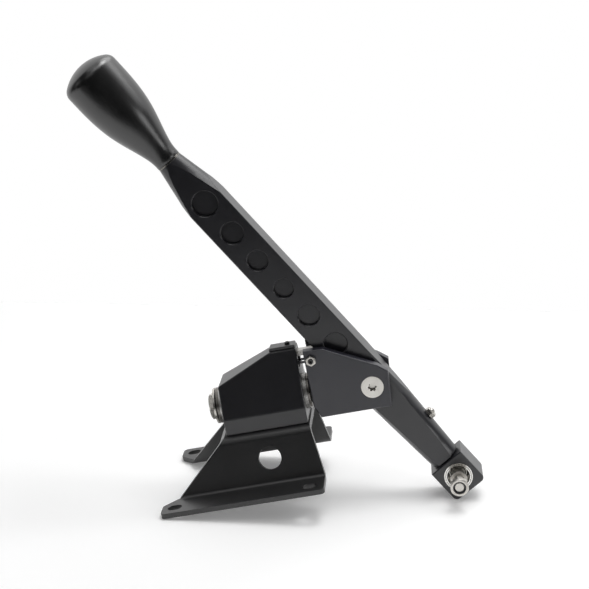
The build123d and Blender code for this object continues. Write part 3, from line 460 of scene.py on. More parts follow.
@dataclass(frozen=True)
class Finish:
    """What every finish has: a name, a record slot, a colour and a gloss.

    Args:
        name: The material's name.
        slot: The record's material slot; not used.
        colour: Base colour, as light intensities.
        roughness: Lowest roughness of the clean surface.
    """

    name: str
    slot: str
    colour: Colour
    roughness: float

    def material(self) -> bpy.types.Material:
        """Build the material, or find it where it was built before.

        Returns:
            The material.
        """
        made = bpy.data.materials.get(self.name)
        if made:
            return made
        made = bpy.data.materials.new(self.name)
        made.use_nodes = True
        made.node_tree.nodes.clear()
        made.diffuse_color = (*self.colour, 1.0)
        graph = Graph(made.node_tree)
        output = graph.node("ShaderNodeOutputMaterial")
        shader = graph.node("ShaderNodeBsdfPrincipled")
        graph.put(shader.outputs["BSDF"], output.inputs["Surface"])
        self.dress(graph, shader)
        return made

    def dress(self, graph: Graph, shader: bpy.types.Node) -> None:
        """Connect the finish's own detail to its shader."""
        raise NotImplementedError

    def roughened(self, graph: Graph, shader: bpy.types.Node,
                  *layers: tuple[bpy.types.NodeSocket, float]) -> None:
        """Feed the finish's roughness to the shader, with masks added.

        Args:
            graph: The material's graph.
            shader: Its shader.
            layers: Masks, each with what it adds to the roughness.
        """
        rough: object = self.roughness
        for mask, change in layers:
            rough = graph.math("MULTIPLY_ADD", mask, change, rough, clamp=True)
        graph.put(rough, shader.inputs["Roughness"])

    def bumped(self, graph: Graph, shader: bpy.types.Node, height: bpy.types.NodeSocket, depth: float,
               normal: bpy.types.NodeSocket | None = None) -> None:
        """Feed a height to the shader's normal.

        Args:
            graph: The material's graph.
            shader: Its shader.
            height: The height's socket.
            depth: How deep the height is, in metres.
            normal: The normal that it stands on, where that isn't the surface's own.
        """
        bump = graph.node("ShaderNodeBump")
        bump.inputs["Strength"].default_value = 1.0
        bump.inputs["Distance"].default_value = depth
        graph.put(height, bump.inputs["Height"])
        if normal is not None:
            graph.put(normal, bump.inputs["Normal"])
        graph.put(bump.outputs["Normal"], shader.inputs["Normal"])


@dataclass(frozen=True)
class BlackCoat(Finish):
    """Black coat on metal: powder coat, anodising or oxide.

    Args:
        worn: Colour where edges are rubbed.
        wear: How much the edges are rubbed.
        wear_width: Width of the rubbed edges.
        grain: Size of the grain.
        depth: Depth of the grain.
        waviness: Share of slower waves, as in a sprayed coat.
        dust: How much dust lies on it.
        dust_colour: Colour of the dust.
        ior: Index of refraction of the coat.
    """

    worn: Colour = (0.05, 0.05, 0.052)
    wear: float = 0.4
    wear_width: float = 0.0004
    grain: float = 0.00035
    depth: float = 0.00001
    waviness: float = 0.5
    dust: float = 0.2
    dust_colour: Colour = (0.32, 0.31, 0.29)
    ior: float = 1.68

    def dress(self, graph: Graph, shader: bpy.types.Node) -> None:
        """Connect grain, rubbed edges, handling and dust.

        Args:
            graph: The material's graph.
            shader: Its shader.
        """
        edge = EDGE_WEAR.place(graph, width=self.wear_width, amount=self.wear)
        grain = GRAIN.place(graph, size=self.grain, waviness=self.waviness)
        hands = HANDLING.place(graph, amount=1.0)
        dust = DUST.place(graph, amount=self.dust)
        lighter = lightened(self.colour, 1.35, 0.001)
        tone = graph.mixed(graph.math("MULTIPLY", grain.outputs["Speckle"], 0.5), self.colour, lighter)
        rubbed = graph.mixed(edge.outputs["Mask"], tone, self.worn)
        dusty = graph.mixed(dust.outputs["Mask"], rubbed, self.dust_colour)
        graph.put(dusty, shader.inputs["Base Color"])
        layers = ((hands.outputs["Mask"], 0.07), (dust.outputs["Mask"], 0.35), (edge.outputs["Mask"], -0.06))
        self.roughened(graph, shader, *layers)
        shader.inputs["IOR"].default_value = self.ior
        self.bumped(graph, shader, grain.outputs["Height"], self.depth, edge.outputs["Rounded"])


@dataclass(frozen=True)
class TurnedMetal(Finish):
    """Bare or plated metal with lathe marks round its axis.

    Args:
        centre: A point on the axis of the marks.
        axis: Their direction.
        pitch: Distance between marks.
        depth: Depth of the marks.
        shade: Colour in the marks and in the handled patches.
        grime: How much of it shows in the patches.
        edge_width: Width of the brighter edges.
    """

    centre: Point = (0.0, 0.0, 0.0)
    axis: Point = (0.0, 1.0, 0.0)
    pitch: float = 0.00025
    depth: float = 0.000004
    shade: Colour = (0.35, 0.33, 0.3)
    grime: float = 0.5
    edge_width: float = 0.0003

    def dress(self, graph: Graph, shader: bpy.types.Node) -> None:
        """Connect lathe marks, handling and darker patches.

        Args:
            graph: The material's graph.
            shader: Its shader.
        """
        rings = TURNING.place(graph, centre=self.centre, axis=self.axis, pitch=self.pitch)
        hands = HANDLING.place(graph, amount=1.0)
        edge = EDGE_WEAR.place(graph, width=self.edge_width, amount=0.5)
        rubbed = lightened(self.colour, 1.12)
        mark_share = graph.math("MULTIPLY", rings.outputs["Mask"], 0.22)
        stain_share = graph.math("MULTIPLY", hands.outputs["Mask"], self.grime * 0.35)
        marked = graph.mixed(mark_share, self.colour, self.shade)
        stained = graph.mixed(stain_share, marked, self.shade)
        graph.put(graph.mixed(edge.outputs["Mask"], stained, rubbed), shader.inputs["Base Color"])
        shader.inputs["Metallic"].default_value = 1.0
        self.roughened(graph, shader, (hands.outputs["Mask"], 0.1), (rings.outputs["Mask"], 0.06))
        self.bumped(graph, shader, rings.outputs["Height"], self.depth, edge.outputs["Rounded"])


@dataclass(frozen=True)
class SmoothShell(Finish):
    """Smooth black shell of the knob, with a silky coat and faint finger marks.

    Args:
        grain: Size of the fine grain.
        depth: Depth of the grain.
        dust: How much dust lies on it.
        dust_colour: Colour of the dust.
        ior: Index of refraction.
    """

    grain: float = 0.0003
    depth: float = 0.000004
    dust: float = 0.25
    dust_colour: Colour = (0.3, 0.3, 0.3)
    ior: float = 1.8

    def dress(self, graph: Graph, shader: bpy.types.Node) -> None:
        """Connect grain, finger marks and a little dust.

        Args:
            graph: The material's graph.
            shader: Its shader.
        """
        grain = GRAIN.place(graph, size=self.grain, waviness=0.3)
        hands = HANDLING.place(graph, amount=1.0)
        dust = DUST.place(graph, amount=self.dust)
        lighter = lightened(self.colour, 1.3, 0.0008)
        tone = graph.mixed(graph.math("MULTIPLY", grain.outputs["Speckle"], 0.5), self.colour, lighter)
        graph.put(graph.mixed(dust.outputs["Mask"], tone, self.dust_colour), shader.inputs["Base Color"])
        self.roughened(graph, shader, (hands.outputs["Mask"], 0.09))
        shader.inputs["IOR"].default_value = self.ior
        self.bumped(graph, shader, grain.outputs["Height"], self.depth)


@dataclass(frozen=True)
class Plastic(Finish):
    """Moulded plastic of small parts.

    Args:
        grain: Size of the moulded grain.
        depth: Depth of the grain.
    """

    grain: float = 0.0004
    depth: float = 0.000015

    def dress(self, graph: Graph, shader: bpy.types.Node) -> None:
        """Connect moulded grain and handling.

        Args:
            graph: The material's graph.
            shader: Its shader.
        """
        grain = GRAIN.place(graph, size=self.grain, waviness=0.6)
        hands = HANDLING.place(graph, amount=1.0)
        lighter = lightened(self.colour, 1.25, 0.002)
        graph.put(graph.mixed(grain.outputs["Speckle"], self.colour, lighter), shader.inputs["Base Color"])
        self.roughened(graph, shader, (hands.outputs["Mask"], 0.1))
        self.bumped(graph, shader, grain.outputs["Height"], self.depth)


def turned(name: str, slot: str, colour: Colour, roughness: float, centre: Vector, axis: Vector,
           **more: object) -> TurnedMetal:
    """Make a turned finish from vectors.

    Args:
        name: The material's name.
        slot: The record's slot.
        colour: The metal's colour.
        roughness: Its roughness.
        centre: A point on the axis of its marks.
        axis: Their direction.
        more: Further fields of the finish.

    Returns:
        The finish.
    """
    return TurnedMetal(name, slot, colour, roughness, tuple(centre), tuple(axis), **more)


BRACKET_COAT = BlackCoat(
    "bracket_powder_coat", "bracket_black", (0.0085, 0.0085, 0.009), 0.36,
    worn=(0.03, 0.03, 0.032), wear=0.35, grain=0.0006, depth=0.00002, waviness=0.9,
)
HOUSING_COAT = BlackCoat(
    "housing_anodised", "housing_black", (0.011, 0.011, 0.0135), 0.33,
    worn=(0.06, 0.06, 0.062), wear=0.45, grain=0.0003, depth=0.000008,
)
# Lighter and bluer than the housing's same black anodising: painted light on the fork's faces.
LIT_FORK_COAT = BlackCoat(
    "fork_anodised_painted_light", "fork_black", (0.018, 0.018, 0.026), 0.36,
    worn=(0.06, 0.06, 0.062), wear=0.4, grain=0.0003, depth=0.000008,
)
LEVER_COAT = BlackCoat(
    "lever_anodised", "lever_black", (0.009, 0.009, 0.012), 0.3,
    worn=(0.07, 0.07, 0.072), wear=0.5, grain=0.0003, depth=0.000008,
)
DARK_OXIDE = BlackCoat(
    "black_oxide", "dark_steel", (0.014, 0.0135, 0.013), 0.32,
    worn=(0.12, 0.12, 0.12), wear=0.5, grain=0.00025, depth=0.000006, dust=0.1, ior=1.7,
)
KNOB_SHELL = SmoothShell("knob_shell", "knob_black", (0.006, 0.006, 0.0063), 0.3)
NYLON = Plastic("nylon_insert", "nylon", (0.03, 0.03, 0.034), 0.5)
NICKEL: Colour = (0.66, 0.64, 0.6)
SHAFT_NICKEL = turned("nickel_on_shaft", "nickel_steel", NICKEL, 0.24, ROLL, REARWARD)
PIVOT_NICKEL = turned("nickel_on_pivot", "nickel_steel", (0.74, 0.72, 0.68), 0.26, PIVOT, ACROSS)
LINK_NICKEL = turned("nickel_on_link", "nickel_steel", NICKEL, 0.34, BALL, ACROSS)
STOP_NICKEL = turned("nickel_on_stops", "nickel_steel", NICKEL, 0.25, STOPS, ACROSS)
LOCK_NICKEL = turned("nickel_on_lock", "nickel_steel", NICKEL, 0.25, LOCK, LEVER_REAR)
# Nickel darkened to 0.2: painted shade for the front ring and the rear washer, which sit in narrow shaded
# gaps on the shaft.
SHADED_NICKEL = turned("nickel_painted_shade", "nickel_steel", (0.2, 0.19, 0.18), 0.3, ROLL, REARWARD)
# Nickel darkened to 0.15: painted shade on the knob's collar, under the knob.
SHADED_COLLAR_NICKEL = turned("collar_nickel_painted_shade", "nickel_steel", (0.15, 0.145, 0.135), 0.22, PIVOT, LEVER_UP)
BALL_STEEL = turned(
    "bearing_steel", "bearing_steel", (0.78, 0.75, 0.66), 0.28, BALL, ACROSS, shade=(0.4, 0.36, 0.3),
)
SLEEVE_STEEL = turned("sleeve_steel", "bearing_steel", (0.6, 0.59, 0.57), 0.2, PIVOT, ACROSS)
# Bush steel darkened well below the lever's bushes: painted shade where the bushes and the spool sit in the
# gaps round the housing.
SHADED_BUSH_STEEL = turned("bush_steel", "bush_steel", (0.17, 0.165, 0.155), 0.36, ROLL, REARWARD)
LEVER_BUSH_STEEL = turned("lever_bush_steel", "bush_steel", (0.42, 0.4, 0.37), 0.38, PIVOT, ACROSS)
TONGUE_STEEL = turned("ground_tongue", "tongue_steel", (0.5, 0.49, 0.47), 0.3, TONGUE, REARWARD)
SPRING_WIRE = turned(
    "spring_wire", "spring_steel", (0.16, 0.16, 0.17), 0.3, ROLL, REARWARD, shade=(0.05, 0.05, 0.05),
)


# Meshes


def curve_through(knots: Sequence[tuple[float, float]], steps: int) -> list[tuple[float, float]]:
    """Smooth curve through places along an axis, flat (steady in radius) at both ends.

    Args:
        knots: Pairs of place and radius, in order.
        steps: Points per span.

    Returns:
        Pairs of place and radius along the curve.
    """
    place = np.array([knot[0] for knot in knots])
    radius = np.array([knot[1] for knot in knots])
    span = np.diff(place)
    count = len(place)
    # Equal curvature on both sides of each inner knot gives a linear system for the slopes.
    system = np.zeros((count, count))
    target = np.zeros(count)
    system[0, 0] = system[-1, -1] = 1.0
    for k in range(1, count - 1):
        system[k, k - 1] = span[k]
        system[k, k] = 2 * (span[k - 1] + span[k])
        system[k, k + 1] = span[k - 1]
        target[k] = 3 * (
            span[k] * (radius[k] - radius[k - 1]) / span[k - 1]
            + span[k - 1] * (radius[k + 1] - radius[k]) / span[k]
        )
    slope = np.linalg.solve(system, target)
    points = []
    for k in range(count - 1):
        for step in range(steps):
            t = step / steps
            points.append((
                place[k] + t * span[k],
                (2 * t**3 - 3 * t**2 + 1) * radius[k]
                + (t**3 - 2 * t**2 + t) * span[k] * slope[k]
                + (3 * t**2 - 2 * t**3) * radius[k + 1]
                + (t**3 - t**2) * span[k] * slope[k + 1],
            ))
    points.append((place[-1], radius[-1]))
    return points


def turned_mesh(name: str, rings: Sequence[Ring], origin: Vector, axis: Vector,
                segments: int) -> bpy.types.Object:
    """Make a closed piece from rings round an axis, whose radius may change round the ring.

    Args:
        name: The piece's name.
        rings: Places along the axis, each with its radius by angle.
        origin: Where the axis starts.
        axis: Its direction.
        segments: Points on a ring.

    Returns:
        The new object, linked to the scene, with smooth shading.
    """
    first = axis.orthogonal().normalized()
    second = axis.cross(first).normalized()
    form = bmesh.new()
    loops = []
    for place, radius in rings:
        loop = []
        for k in range(segments):
            angle = 2 * math.pi * k / segments
            reach = radius(angle)
            spot = origin + axis * place + (first * math.cos(angle) + second * math.sin(angle)) * reach
            loop.append(form.verts.new(spot))
        loops.append(loop)
    for lower, upper in zip(loops, loops[1:]):
        for k in range(segments):
            after = (k + 1) % segments
            form.faces.new((lower[k], lower[after], upper[after], upper[k]))
    form.faces.new(list(reversed(loops[0])))
    form.faces.new(loops[-1])
    bmesh.ops.recalc_face_normals(form, faces=form.faces)
    mesh = bpy.data.meshes.new(name)
    form.to_mesh(mesh)
    form.free()
    mesh.shade_smooth()
    made = bpy.data.objects.new(name, mesh)
    bpy.context.scene.collection.objects.link(made)
    return made


def joined(name: str, parts: Iterable[bpy.types.Object]) -> bpy.types.Object:
    """Join objects at the origin into one piece.

    Args:
        name: The piece's name.
        parts: The objects, which are used up.

    Returns:
        The joined object.
    """
    form = bmesh.new()
    for part in parts:
        form.from_mesh(part.data)
        mesh = part.data
        bpy.data.objects.remove(part)
        bpy.data.meshes.remove(mesh)
    whole = bpy.data.meshes.new(name)
    form.to_mesh(whole)
    form.free()
    made = bpy.data.objects.new(name, whole)
    bpy.context.scene.collection.objects.link(made)
    return made


def sharpen(piece: bpy.types.Object, angle: float) -> None:
    """Shade a piece smooth, apart from its sharp edges.

    Args:
        piece: The piece.
        angle: Angle between faces from which an edge is sharp, in degrees.
    """
    piece.data.shade_smooth()
    limit = math.radians(angle)
    form = bmesh.new()
    form.from_mesh(piece.data)
    for edge in form.edges:
        edge.smooth = not (len(edge.link_faces) == 2 and edge.calc_face_angle(0.0) > limit)
    form.to_mesh(piece.data)
    form.free()


@dataclass(frozen=True)
class ThreadedScrew:
    """A set screw with a rolled thread and a hexagon socket in its end.

    Args:
        name: The piece's name.
        origin: Centre of the end that has no socket.
        axis: Direction from there to the socket.
        length: Length over all.
        diameter: Outer diameter of the thread.
        pitch: Pitch of the thread.
        socket: Width of the socket across its flats, and its depth.
        groove_depth: Depth of the thread, as a share of the pitch.
        flank_rise: How steeply its flanks rise.
        groove_floor: How wide the floor of its groove is.
        runout: How deep the thread runs out at both ends.
        lip: Width of the chamfer round the socket.
        segments: Points round the screw.
        turn_steps: Rings for each turn of the thread.
        crease: Angle between faces that stays sharp, in degrees.
    """

    name: str
    origin: Vector
    axis: Vector
    length: float
    diameter: float
    pitch: float
    socket: float
    groove_depth: float = 0.6
    flank_rise: float = 2.6
    groove_floor: float = 0.12
    runout: float = 0.0006
    lip: float = 0.0001
    segments: int = 48
    turn_steps: int = 8
    crease: float = 32.0

    def flank(self, place: float, angle: float) -> float:
        """Radius of the thread.

        Args:
            place: Distance from the screw's start.
            angle: Angle round its axis.

        Returns:
            The radius there, with the thread run out at both ends.
        """
        outer = self.diameter / 2
        turn = (place / self.pitch - angle / (2 * math.pi)) % 1.0
        ridge = min(1.0, max(0.0, self.flank_rise * abs(turn - 0.5) - self.groove_floor))
        thread = outer - self.groove_depth * self.pitch * (1 - ridge)
        end_distance = min(place, self.length - place)
        return min(thread, outer - self.runout + max(0.0, end_distance))

    def hexagon(self, angle: float) -> float:
        """Distance from the axis to the socket's side at an angle."""
        sector = (angle + math.pi / 6) % (math.pi / 3) - math.pi / 6
        return self.socket / 2 / math.cos(sector)

    def build(self) -> bpy.types.Object:
        """Build the screw.

        Returns:
            The new object.
        """
        steps = max(12, int(self.length / self.pitch * self.turn_steps))
        rings: list[Ring] = []
        for k in range(steps + 1):
            place = self.length * k / steps
            rings.append((place, lambda angle, place=place: self.flank(place, angle)))
        mouth = self.socket / 2 / math.cos(math.pi / 6) + self.lip
        floor = self.length - self.socket
        drill_tip = floor - self.socket * 0.2
        rings.append((self.length, lambda angle: mouth))
        rings.append((self.length - self.lip, self.hexagon))
        rings.append((floor, self.hexagon))
        rings.append((drill_tip, lambda angle: self.socket * 0.05))
        made = turned_mesh(self.name, rings, self.origin, self.axis, self.segments)
        sharpen(made, self.crease)
        return made


# Sub-assemblies


@dataclass
class SubAssembly:
    """Some pieces of the shifter that ride on one body, and their finishes.

    Args:
        body: The CAD body that the pieces ride on.
        finishes: Finish of each CAD node that keeps its shape.
    """

    body: str = ""
    finishes: dict[str, Finish] = field(default_factory=dict)

    def build(self) -> list[bpy.types.Object]:
        """Build the pieces that the CAD nodes don't show.

        Returns:
            The new pieces.
        """
        return []

    def dress(self) -> None:
        """Give each CAD node its finish."""
        for name, finish in self.finishes.items():
            node = frame["nodes"][name]
            node.data.materials.clear()
            node.data.materials.append(finish.material())

    def place(self, piece: bpy.types.Object, finish: Finish, *nodes: str) -> bpy.types.Object:
        """Finish a new piece, and let it ride in place of CAD nodes.

        Args:
            piece: The piece.
            finish: Its finish.
            nodes: CAD nodes that it stands for.

        Returns:
            The same piece.
        """
        piece.data.materials.clear()
        piece.data.materials.append(finish.material())
        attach(piece, self.body)
        if nodes:
            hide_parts(*nodes)
        return piece


@dataclass
class FloorBracket(SubAssembly):
    """Bent-plate bridge with the screws that hold the housing on it."""

    body: str = "base"
    finishes: dict[str, Finish] = field(default_factory=lambda: {
        "base_bracket": BRACKET_COAT,
        "housing_screws": DARK_OXIDE,
    })


@dataclass
class Housing(SubAssembly):
    """Tapered housing with its lid, bushes, gate tongue and centring spring."""

    body: str = "base"
    finishes: dict[str, Finish] = field(default_factory=lambda: {
        "housing": HOUSING_COAT,
        "lid": HOUSING_COAT,
        "lid_screw": DARK_OXIDE,
        "gate_tongue": TONGUE_STEEL,
        "anchor_pin": DARK_OXIDE,
        # The housing's bushes take the darkened bush steel: painted shade in the gaps at the housing's ends.
        "front_bush": SHADED_BUSH_STEEL,
        "rear_bush": SHADED_BUSH_STEEL,
        "centring_spring": SPRING_WIRE,
    })


@dataclass
class RollShaft(SubAssembly):
    """Shaft that the fork rolls on, with its rings and washers."""

    body: str = "fork"
    finishes: dict[str, Finish] = field(default_factory=lambda: {
        "roll_shaft": SHAFT_NICKEL,
        # The front ring and the rear washer take the darkened nickel: painted shade in their narrow gaps.
        "front_ring": SHADED_NICKEL,
        "front_shim": DARK_OXIDE,
        "front_washer": SHAFT_NICKEL,
        "rear_washer": SHADED_NICKEL,
        "rear_spacer": DARK_OXIDE,
        "spring_spool": SHADED_BUSH_STEEL,
    })


@dataclass
class Fork(SubAssembly):
    """Fork with its pivot, post and stop screws.

    Args:
        stop_pitch: Pitch of the stop screws' thread.
        stop_socket: Width of their sockets across the flats.
    """

    body: str = "fork"
    finishes: dict[str, Finish] = field(default_factory=lambda: {
        # The fork's lighter, bluer anodising is painted light.
        "fork": LIT_FORK_COAT,
        "shaft_screw": DARK_OXIDE,
        "spring_post": DARK_OXIDE,
        "stop_nuts": STOP_NICKEL,
        "pivot_sleeve": SLEEVE_STEEL,
        "pivot_screws": PIVOT_NICKEL,
    })
    stop_pitch: float = 0.7 * MM
    stop_socket: float = 2.0 * MM

    def build(self) -> list[bpy.types.Object]:
        """Build the two stop screws.

        Returns:
            One piece with both screws.
        """
        low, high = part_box("stop_screws")
        diameter = high[0] - low[0]
        centre_x = (low[0] + high[0]) / 2
        centre_z = (low[2] + high[2]) / 2
        inner = min(abs(vertex.co.y) for vertex in frame["nodes"]["stop_screws"].data.vertices)
        length = high[1] - inner
        screws = [
            ThreadedScrew(
                "stop_screw", Vector((centre_x, side * inner, centre_z)), Vector((0, side, 0)), length,
                diameter, self.stop_pitch, self.stop_socket,
            ).build()
            for side in (-1, 1)
        ]
        return [self.place(joined("stop_screws_threaded", screws), DARK_OXIDE, "stop_screws")]


@dataclass
class Lever(SubAssembly):
    """Drilled lever with its bushes, and the set screw that locks the throw.

    Args:
        lock_diameter: Diameter of the set screw.
        lock_pitch: Pitch of its thread.
        lock_socket: Width of its socket across the flats.
    """

    body: str = "lever"
    finishes: dict[str, Finish] = field(default_factory=lambda: {
        "lever": LEVER_COAT,
        "lever_bushes": LEVER_BUSH_STEEL,
        "throw_nut": LOCK_NICKEL,
    })
    lock_diameter: float = 5.0 * MM
    lock_pitch: float = 0.8 * MM
    lock_socket: float = 2.5 * MM

    def build(self) -> list[bpy.types.Object]:
        """Build the set screw.

        Returns:
            The screw.
        """
        vertices = frame["nodes"]["throw_screw"].data.vertices
        reaches = [(vertex.co - LOCK).dot(LEVER_REAR) for vertex in vertices]
        start = min(reaches)
        screw = ThreadedScrew(
            "throw_screw_threaded", LOCK + LEVER_REAR * start, LEVER_REAR, max(reaches) - start,
            self.lock_diameter, self.lock_pitch, self.lock_socket,
        ).build()
        return [self.place(screw, LOCK_NICKEL, "throw_screw")]


@dataclass
class Knob(SubAssembly):
    """Turned knob, smoother than the CAD node that it stands for, and its ring.

    Args:
        foot: Place of its underside along the lever, from the pivot.
        foot_radius: Radius there.
        skirt: Length of the short straight part above the foot.
        waist: Place and radius of the waist.
        girth: Place and radius halfway up.
        widest: Place and radius where it is widest.
        top: Place of its top.
        dome: Radius of the dome on top.
        rim: Radius of the rounded rim.
        foot_edge: Width of the chamfer round the foot.
        tip: Radius of the small flat on top, which closes the mesh.
        steps: Points in each span of the side and in the rim.
        dome_steps: Points in the dome.
        segments: Points round it.
        crease: Angle between faces that stays sharp, in degrees.
    """

    body: str = "lever"
    # The collar takes the darkened nickel: painted shade under the knob.
    finishes: dict[str, Finish] = field(default_factory=lambda: {"knob_collar": SHADED_COLLAR_NICKEL})
    foot: float = 228.2 * MM
    foot_radius: float = 10.1 * MM
    skirt: float = 3.0 * MM
    waist: tuple[float, float] = (244.0 * MM, 12.4 * MM)
    girth: tuple[float, float] = (268.0 * MM, 19.45 * MM)
    widest: tuple[float, float] = (303.0 * MM, 22.66 * MM)
    top: float = 322.88 * MM
    dome: float = 33.5 * MM
    rim: float = 8.0 * MM
    foot_edge: float = 0.3 * MM
    tip: float = 0.01 * MM
    steps: int = 16
    dome_steps: int = 24
    segments: int = 144
    crease: float = 50.0

    def outline(self) -> list[tuple[float, float]]:
        """Half outline of the knob.

        Returns:
            Pairs of place along the lever and radius, from the foot to the top.
        """
        points = [
            (self.foot, self.foot_radius - self.foot_edge),
            (self.foot + self.foot_edge, self.foot_radius),
        ]
        skirt_top = (self.foot + self.skirt, self.foot_radius)
        points += curve_through([skirt_top, self.waist, self.girth, self.widest], self.steps)
        dome_centre = self.top - self.dome
        rim_radius = self.widest[1] - self.rim
        rim_centre = dome_centre + math.sqrt((self.dome - self.rim) ** 2 - rim_radius**2)
        lean = math.atan2(rim_radius, rim_centre - dome_centre)
        for k in range(self.steps + 1):
            angle = (math.pi / 2 - lean) * k / self.steps
            place = rim_centre + self.rim * math.sin(angle)
            points.append((place, rim_radius + self.rim * math.cos(angle)))
        for k in range(1, self.dome_steps):
            angle = lean * (1 - k / self.dome_steps)
            points.append((dome_centre + self.dome * math.cos(angle), self.dome * math.sin(angle)))
        points.append((self.top, self.tip))
        return points

    def build(self) -> list[bpy.types.Object]:
        """Build the knob.

        Returns:
            The knob.
        """
        rings = [(place, lambda angle, radius=radius: radius) for place, radius in self.outline()]
        knob = turned_mesh("knob_shell", rings, PIVOT, LEVER_UP, self.segments)
        sharpen(knob, self.crease)
        return [self.place(knob, KNOB_SHELL, "knob")]


@dataclass
class BearingBlock(SubAssembly):
    """Block at the lever's lower end, with its spherical bearing."""

    body: str = "block"
    finishes: dict[str, Finish] = field(default_factory=lambda: {
        "bearing_block": LEVER_COAT,
        "bearing_race": BALL_STEEL,
    })


@dataclass
class BearingBall(SubAssembly):
    """Ball of the spherical bearing."""

    body: str = "ball"
    finishes: dict[str, Finish] = field(default_factory=lambda: {"bearing_ball": BALL_STEEL})


@dataclass
class LinkBolt(SubAssembly):
    """Bolt through the ball, with spacers, washers and a lock nut."""

    body: str = "link"
    finishes: dict[str, Finish] = field(default_factory=lambda: {
        "link_bolt": LINK_NICKEL,
        "link_spacers": LINK_NICKEL,
        "link_washers": LINK_NICKEL,
        "link_nut": LINK_NICKEL,
        "nut_insert": NYLON,
    })


# Studio


@dataclass(frozen=True)
class TablePaint(Finish):
    """White coat of the table.

    Args:
        lift: Light that the camera and reflections see on top of what falls on it.
    """

    lift: float = 0.17

    def dress(self, graph: Graph, shader: bpy.types.Node) -> None:
        """Connect a faint grain, and the lift that only some rays see.

        Args:
            graph: The material's graph.
            shader: Its shader.
        """
        grain = GRAIN.place(graph, size=0.0012, waviness=0.4)
        darker = lightened(self.colour, 0.985)
        graph.put(graph.mixed(grain.outputs["Speckle"], self.colour, darker), shader.inputs["Base Color"])
        shader.inputs["Roughness"].default_value = self.roughness
        shader.inputs["Specular IOR Level"].default_value = 0.2
        rays = graph.node("ShaderNodeLightPath")
        seen = graph.math("ADD", rays.outputs["Is Camera Ray"], rays.outputs["Is Glossy Ray"])
        seen = graph.math("ADD", seen, rays.outputs["Is Transmission Ray"], clamp=True)
        graph.tint(WHITE, shader.inputs["Emission Color"])
        graph.put(graph.math("MULTIPLY", seen, self.lift), shader.inputs["Emission Strength"])


TABLE_PAINT = TablePaint("table_paint", "", (0.93, 0.93, 0.93), 0.6)


@dataclass(frozen=True)
class Softbox:
    """A rectangular lamp that hangs round the part and is turned to it.

    Args:
        place: Where it hangs.
        width: Its width.
        depth: Its other side.
        power: Its power, in watts.
    """

    place: Point
    width: float
    depth: float
    power: float


class Lamp(Enum):
    """The softboxes, named by where they hang."""

    OVERHEAD = Softbox((1.1, 0.92, 2.1), 2.31, 1.8, 30.7)
    OVERHEAD_CORE = Softbox((0.89, 0.25, 2.17), 0.79, 0.79, 14.2)
    RIGHT_LOW = Softbox((2.28, -0.88, 0.25), 0.86, 0.6, 5.8)
    RIGHT_PANEL = Softbox((2.18, 0.26, 1.23), 1.2, 0.77, 4.3)
    TOP_LEFT = Softbox((-0.47, -0.09, 2.49), 1.2, 1.2, 4.6)
    FRONT_TOP = Softbox((0.5, -0.79, 2.26), 1.15, 0.69, 5.5)
    FRONT_FILL = Softbox((-0.18, -1.59, 1.93), 1.54, 1.2, 2.6)
    LEFT_LOW = Softbox((-2.01, -0.72, 1.16), 0.86, 0.86, 1.3)


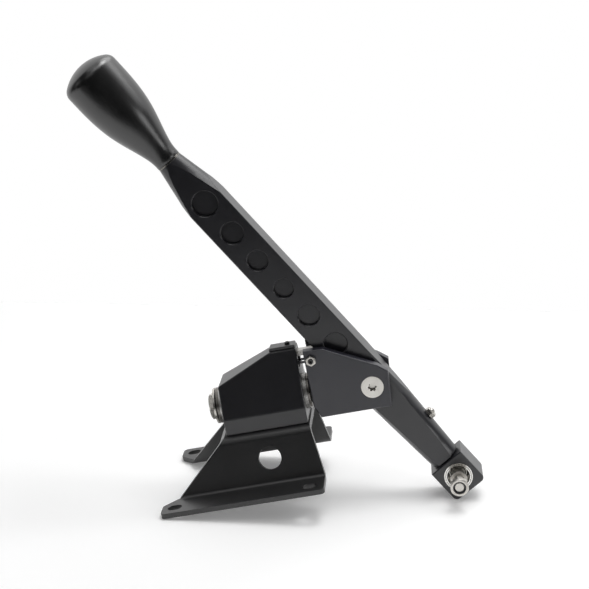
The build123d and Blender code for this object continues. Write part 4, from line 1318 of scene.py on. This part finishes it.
@dataclass
class Studio:
    """White table, soft light and the camera of the photograph.

    Args:
        tilt: Angle between the table and the feet, in degrees.
        front: How far the table reaches towards the camera.
        back: How far it reaches away from it.
        side: How far it reaches to each side.
        eye: The camera's place.
        forward: Direction that it looks in.
        right: Direction to the right of its picture.
        lens: Its focal length, in millimetres, on a 36 mm sensor.
        aim: Place that the lamps are turned to.
        ambient: Strength of the world's diffuse light.
        gap: Gap between the table and the part.
        dark: Grey that reflections find on the camera's side of the room.
        dark_from: How far to the back a direction points, from 0 to 1, where the room starts to darken.
        dark_to: How far to the back it points where the room is dark.
    """

    tilt: float = 11.4
    front: float = 0.52
    back: float = 0.5
    side: float = 1.1
    eye: Point = (0.19909, -1.05385, 0.42170)
    forward: Point = (-0.1229, 0.9582, -0.2585)
    right: Point = (0.9773, 0.0716, -0.1994)
    lens: float = 88.47
    aim: Point = (0.05, 0.0, 0.15)
    ambient: float = 0.12
    gap: float = 0.00005
    dark: float = 0.015
    dark_from: float = 0.45
    dark_to: float = 0.15

    def table_normal(self) -> Vector:
        """Direction that is up for the table."""
        angle = math.radians(self.tilt)
        return Vector((math.sin(angle), 0.0, math.cos(angle)))

    def table_height(self) -> float:
        """Find the table's height under the lowest point of the part.

        Returns:
            Distance of the table from the origin, along its normal.
        """
        normal = self.table_normal()
        return min(
            (vertex.co.dot(normal) for node in frame["nodes"].values() for vertex in node.data.vertices),
            default=0.0,
        )

    def build_table(self) -> None:
        """Build the table top."""
        normal = self.table_normal()
        along = Vector((normal.z, 0.0, -normal.x))
        centre = normal * (self.table_height() - self.gap)
        mesh = bpy.data.meshes.new("table_top")
        corners = [
            centre + along * (side * self.side) + ACROSS * reach
            for side, reach in ((-1, -self.front), (1, -self.front), (1, self.back), (-1, self.back))
        ]
        mesh.from_pydata([tuple(corner) for corner in corners], [], [(0, 1, 2, 3)])
        table = bpy.data.objects.new("table_top", mesh)
        bpy.context.scene.collection.objects.link(table)
        mesh.materials.append(TABLE_PAINT.material())

    def build_world(self) -> None:
        """Build the world: white to the camera, dark on the camera's side in reflections."""
        world = bpy.data.worlds.new("studio_world")
        bpy.context.scene.world = world
        world.use_nodes = True
        world.node_tree.nodes.clear()
        graph = Graph(world.node_tree)
        output = graph.node("ShaderNodeOutputWorld")
        direction = graph.node("ShaderNodeTexCoord").outputs["Generated"]
        toward = graph.vector("DOT_PRODUCT", direction, (0.0, -1.0, 0.0)).outputs["Value"]
        shade = graph.mapped(toward, -self.dark_from, -self.dark_to)
        room = graph.mixed(shade, WHITE, (self.dark, self.dark, self.dark))
        rays = graph.node("ShaderNodeLightPath")
        mirror = graph.math("ADD", rays.outputs["Is Glossy Ray"], rays.outputs["Is Transmission Ray"],
                            clamp=True)
        unseen = graph.either(mirror, graph.background(WHITE, self.ambient), graph.background(room))
        whole = graph.either(rays.outputs["Is Camera Ray"], unseen, graph.background(WHITE))
        graph.put(whole, output.inputs["Surface"])

    def build_lamps(self) -> None:
        """Hang the softboxes."""
        for lamp in Lamp:
            box = lamp.value
            light = bpy.data.lights.new(lamp.name.lower(), "AREA")
            light.shape = "RECTANGLE"
            light.size = box.width
            light.size_y = box.depth
            light.energy = box.power
            made = bpy.data.objects.new(lamp.name.lower(), light)
            made.location = box.place
            toward = Vector(self.aim) - Vector(box.place)
            made.rotation_euler = toward.to_track_quat("-Z", "Y").to_euler()
            bpy.context.scene.collection.objects.link(made)

    def build_camera(self) -> None:
        """Build the camera of the photograph."""
        look = Vector(self.forward).normalized()
        side = (Vector(self.right) - look * Vector(self.right).dot(look)).normalized()
        up = side.cross(look)
        lens = bpy.data.cameras.new("photo_camera")
        lens.lens = self.lens
        lens.sensor_width = 36.0
        lens.sensor_fit = "HORIZONTAL"
        lens.clip_end = 50.0
        camera = bpy.data.objects.new("photo_camera", lens)
        turn = Matrix((side, up, -look)).transposed().to_4x4()
        camera.matrix_world = Matrix.Translation(Vector(self.eye)) @ turn
        bpy.context.scene.collection.objects.link(camera)
        bpy.context.scene.camera = camera

    def build(self) -> None:
        """Build the table, the light and the camera."""
        self.build_table()
        self.build_world()
        self.build_lamps()
        self.build_camera()
        bpy.context.scene.view_settings.view_transform = "Standard"


def main() -> None:
    """Build and dress every sub-assembly, then the studio round them."""
    logging.basicConfig(level=logging.INFO, format="%(name)s: %(message)s")
    kinds = (FloorBracket, Housing, RollShaft, Fork, Lever, Knob, BearingBlock, BearingBall, LinkBolt)
    for kind in kinds:
        part = kind()
        pieces = part.build()
        part.dress()
        log.info("%s on %s: %d nodes dressed", kind.__name__, part.body, len(part.finishes))
        for name, finish in part.finishes.items():
            log.info("  %s: %s", name, finish.name)
        for piece in pieces:
            log.info("  %s: %d faces", piece.name, len(piece.data.polygons))
    Studio().build()


if __name__ == "__main__":
    main()
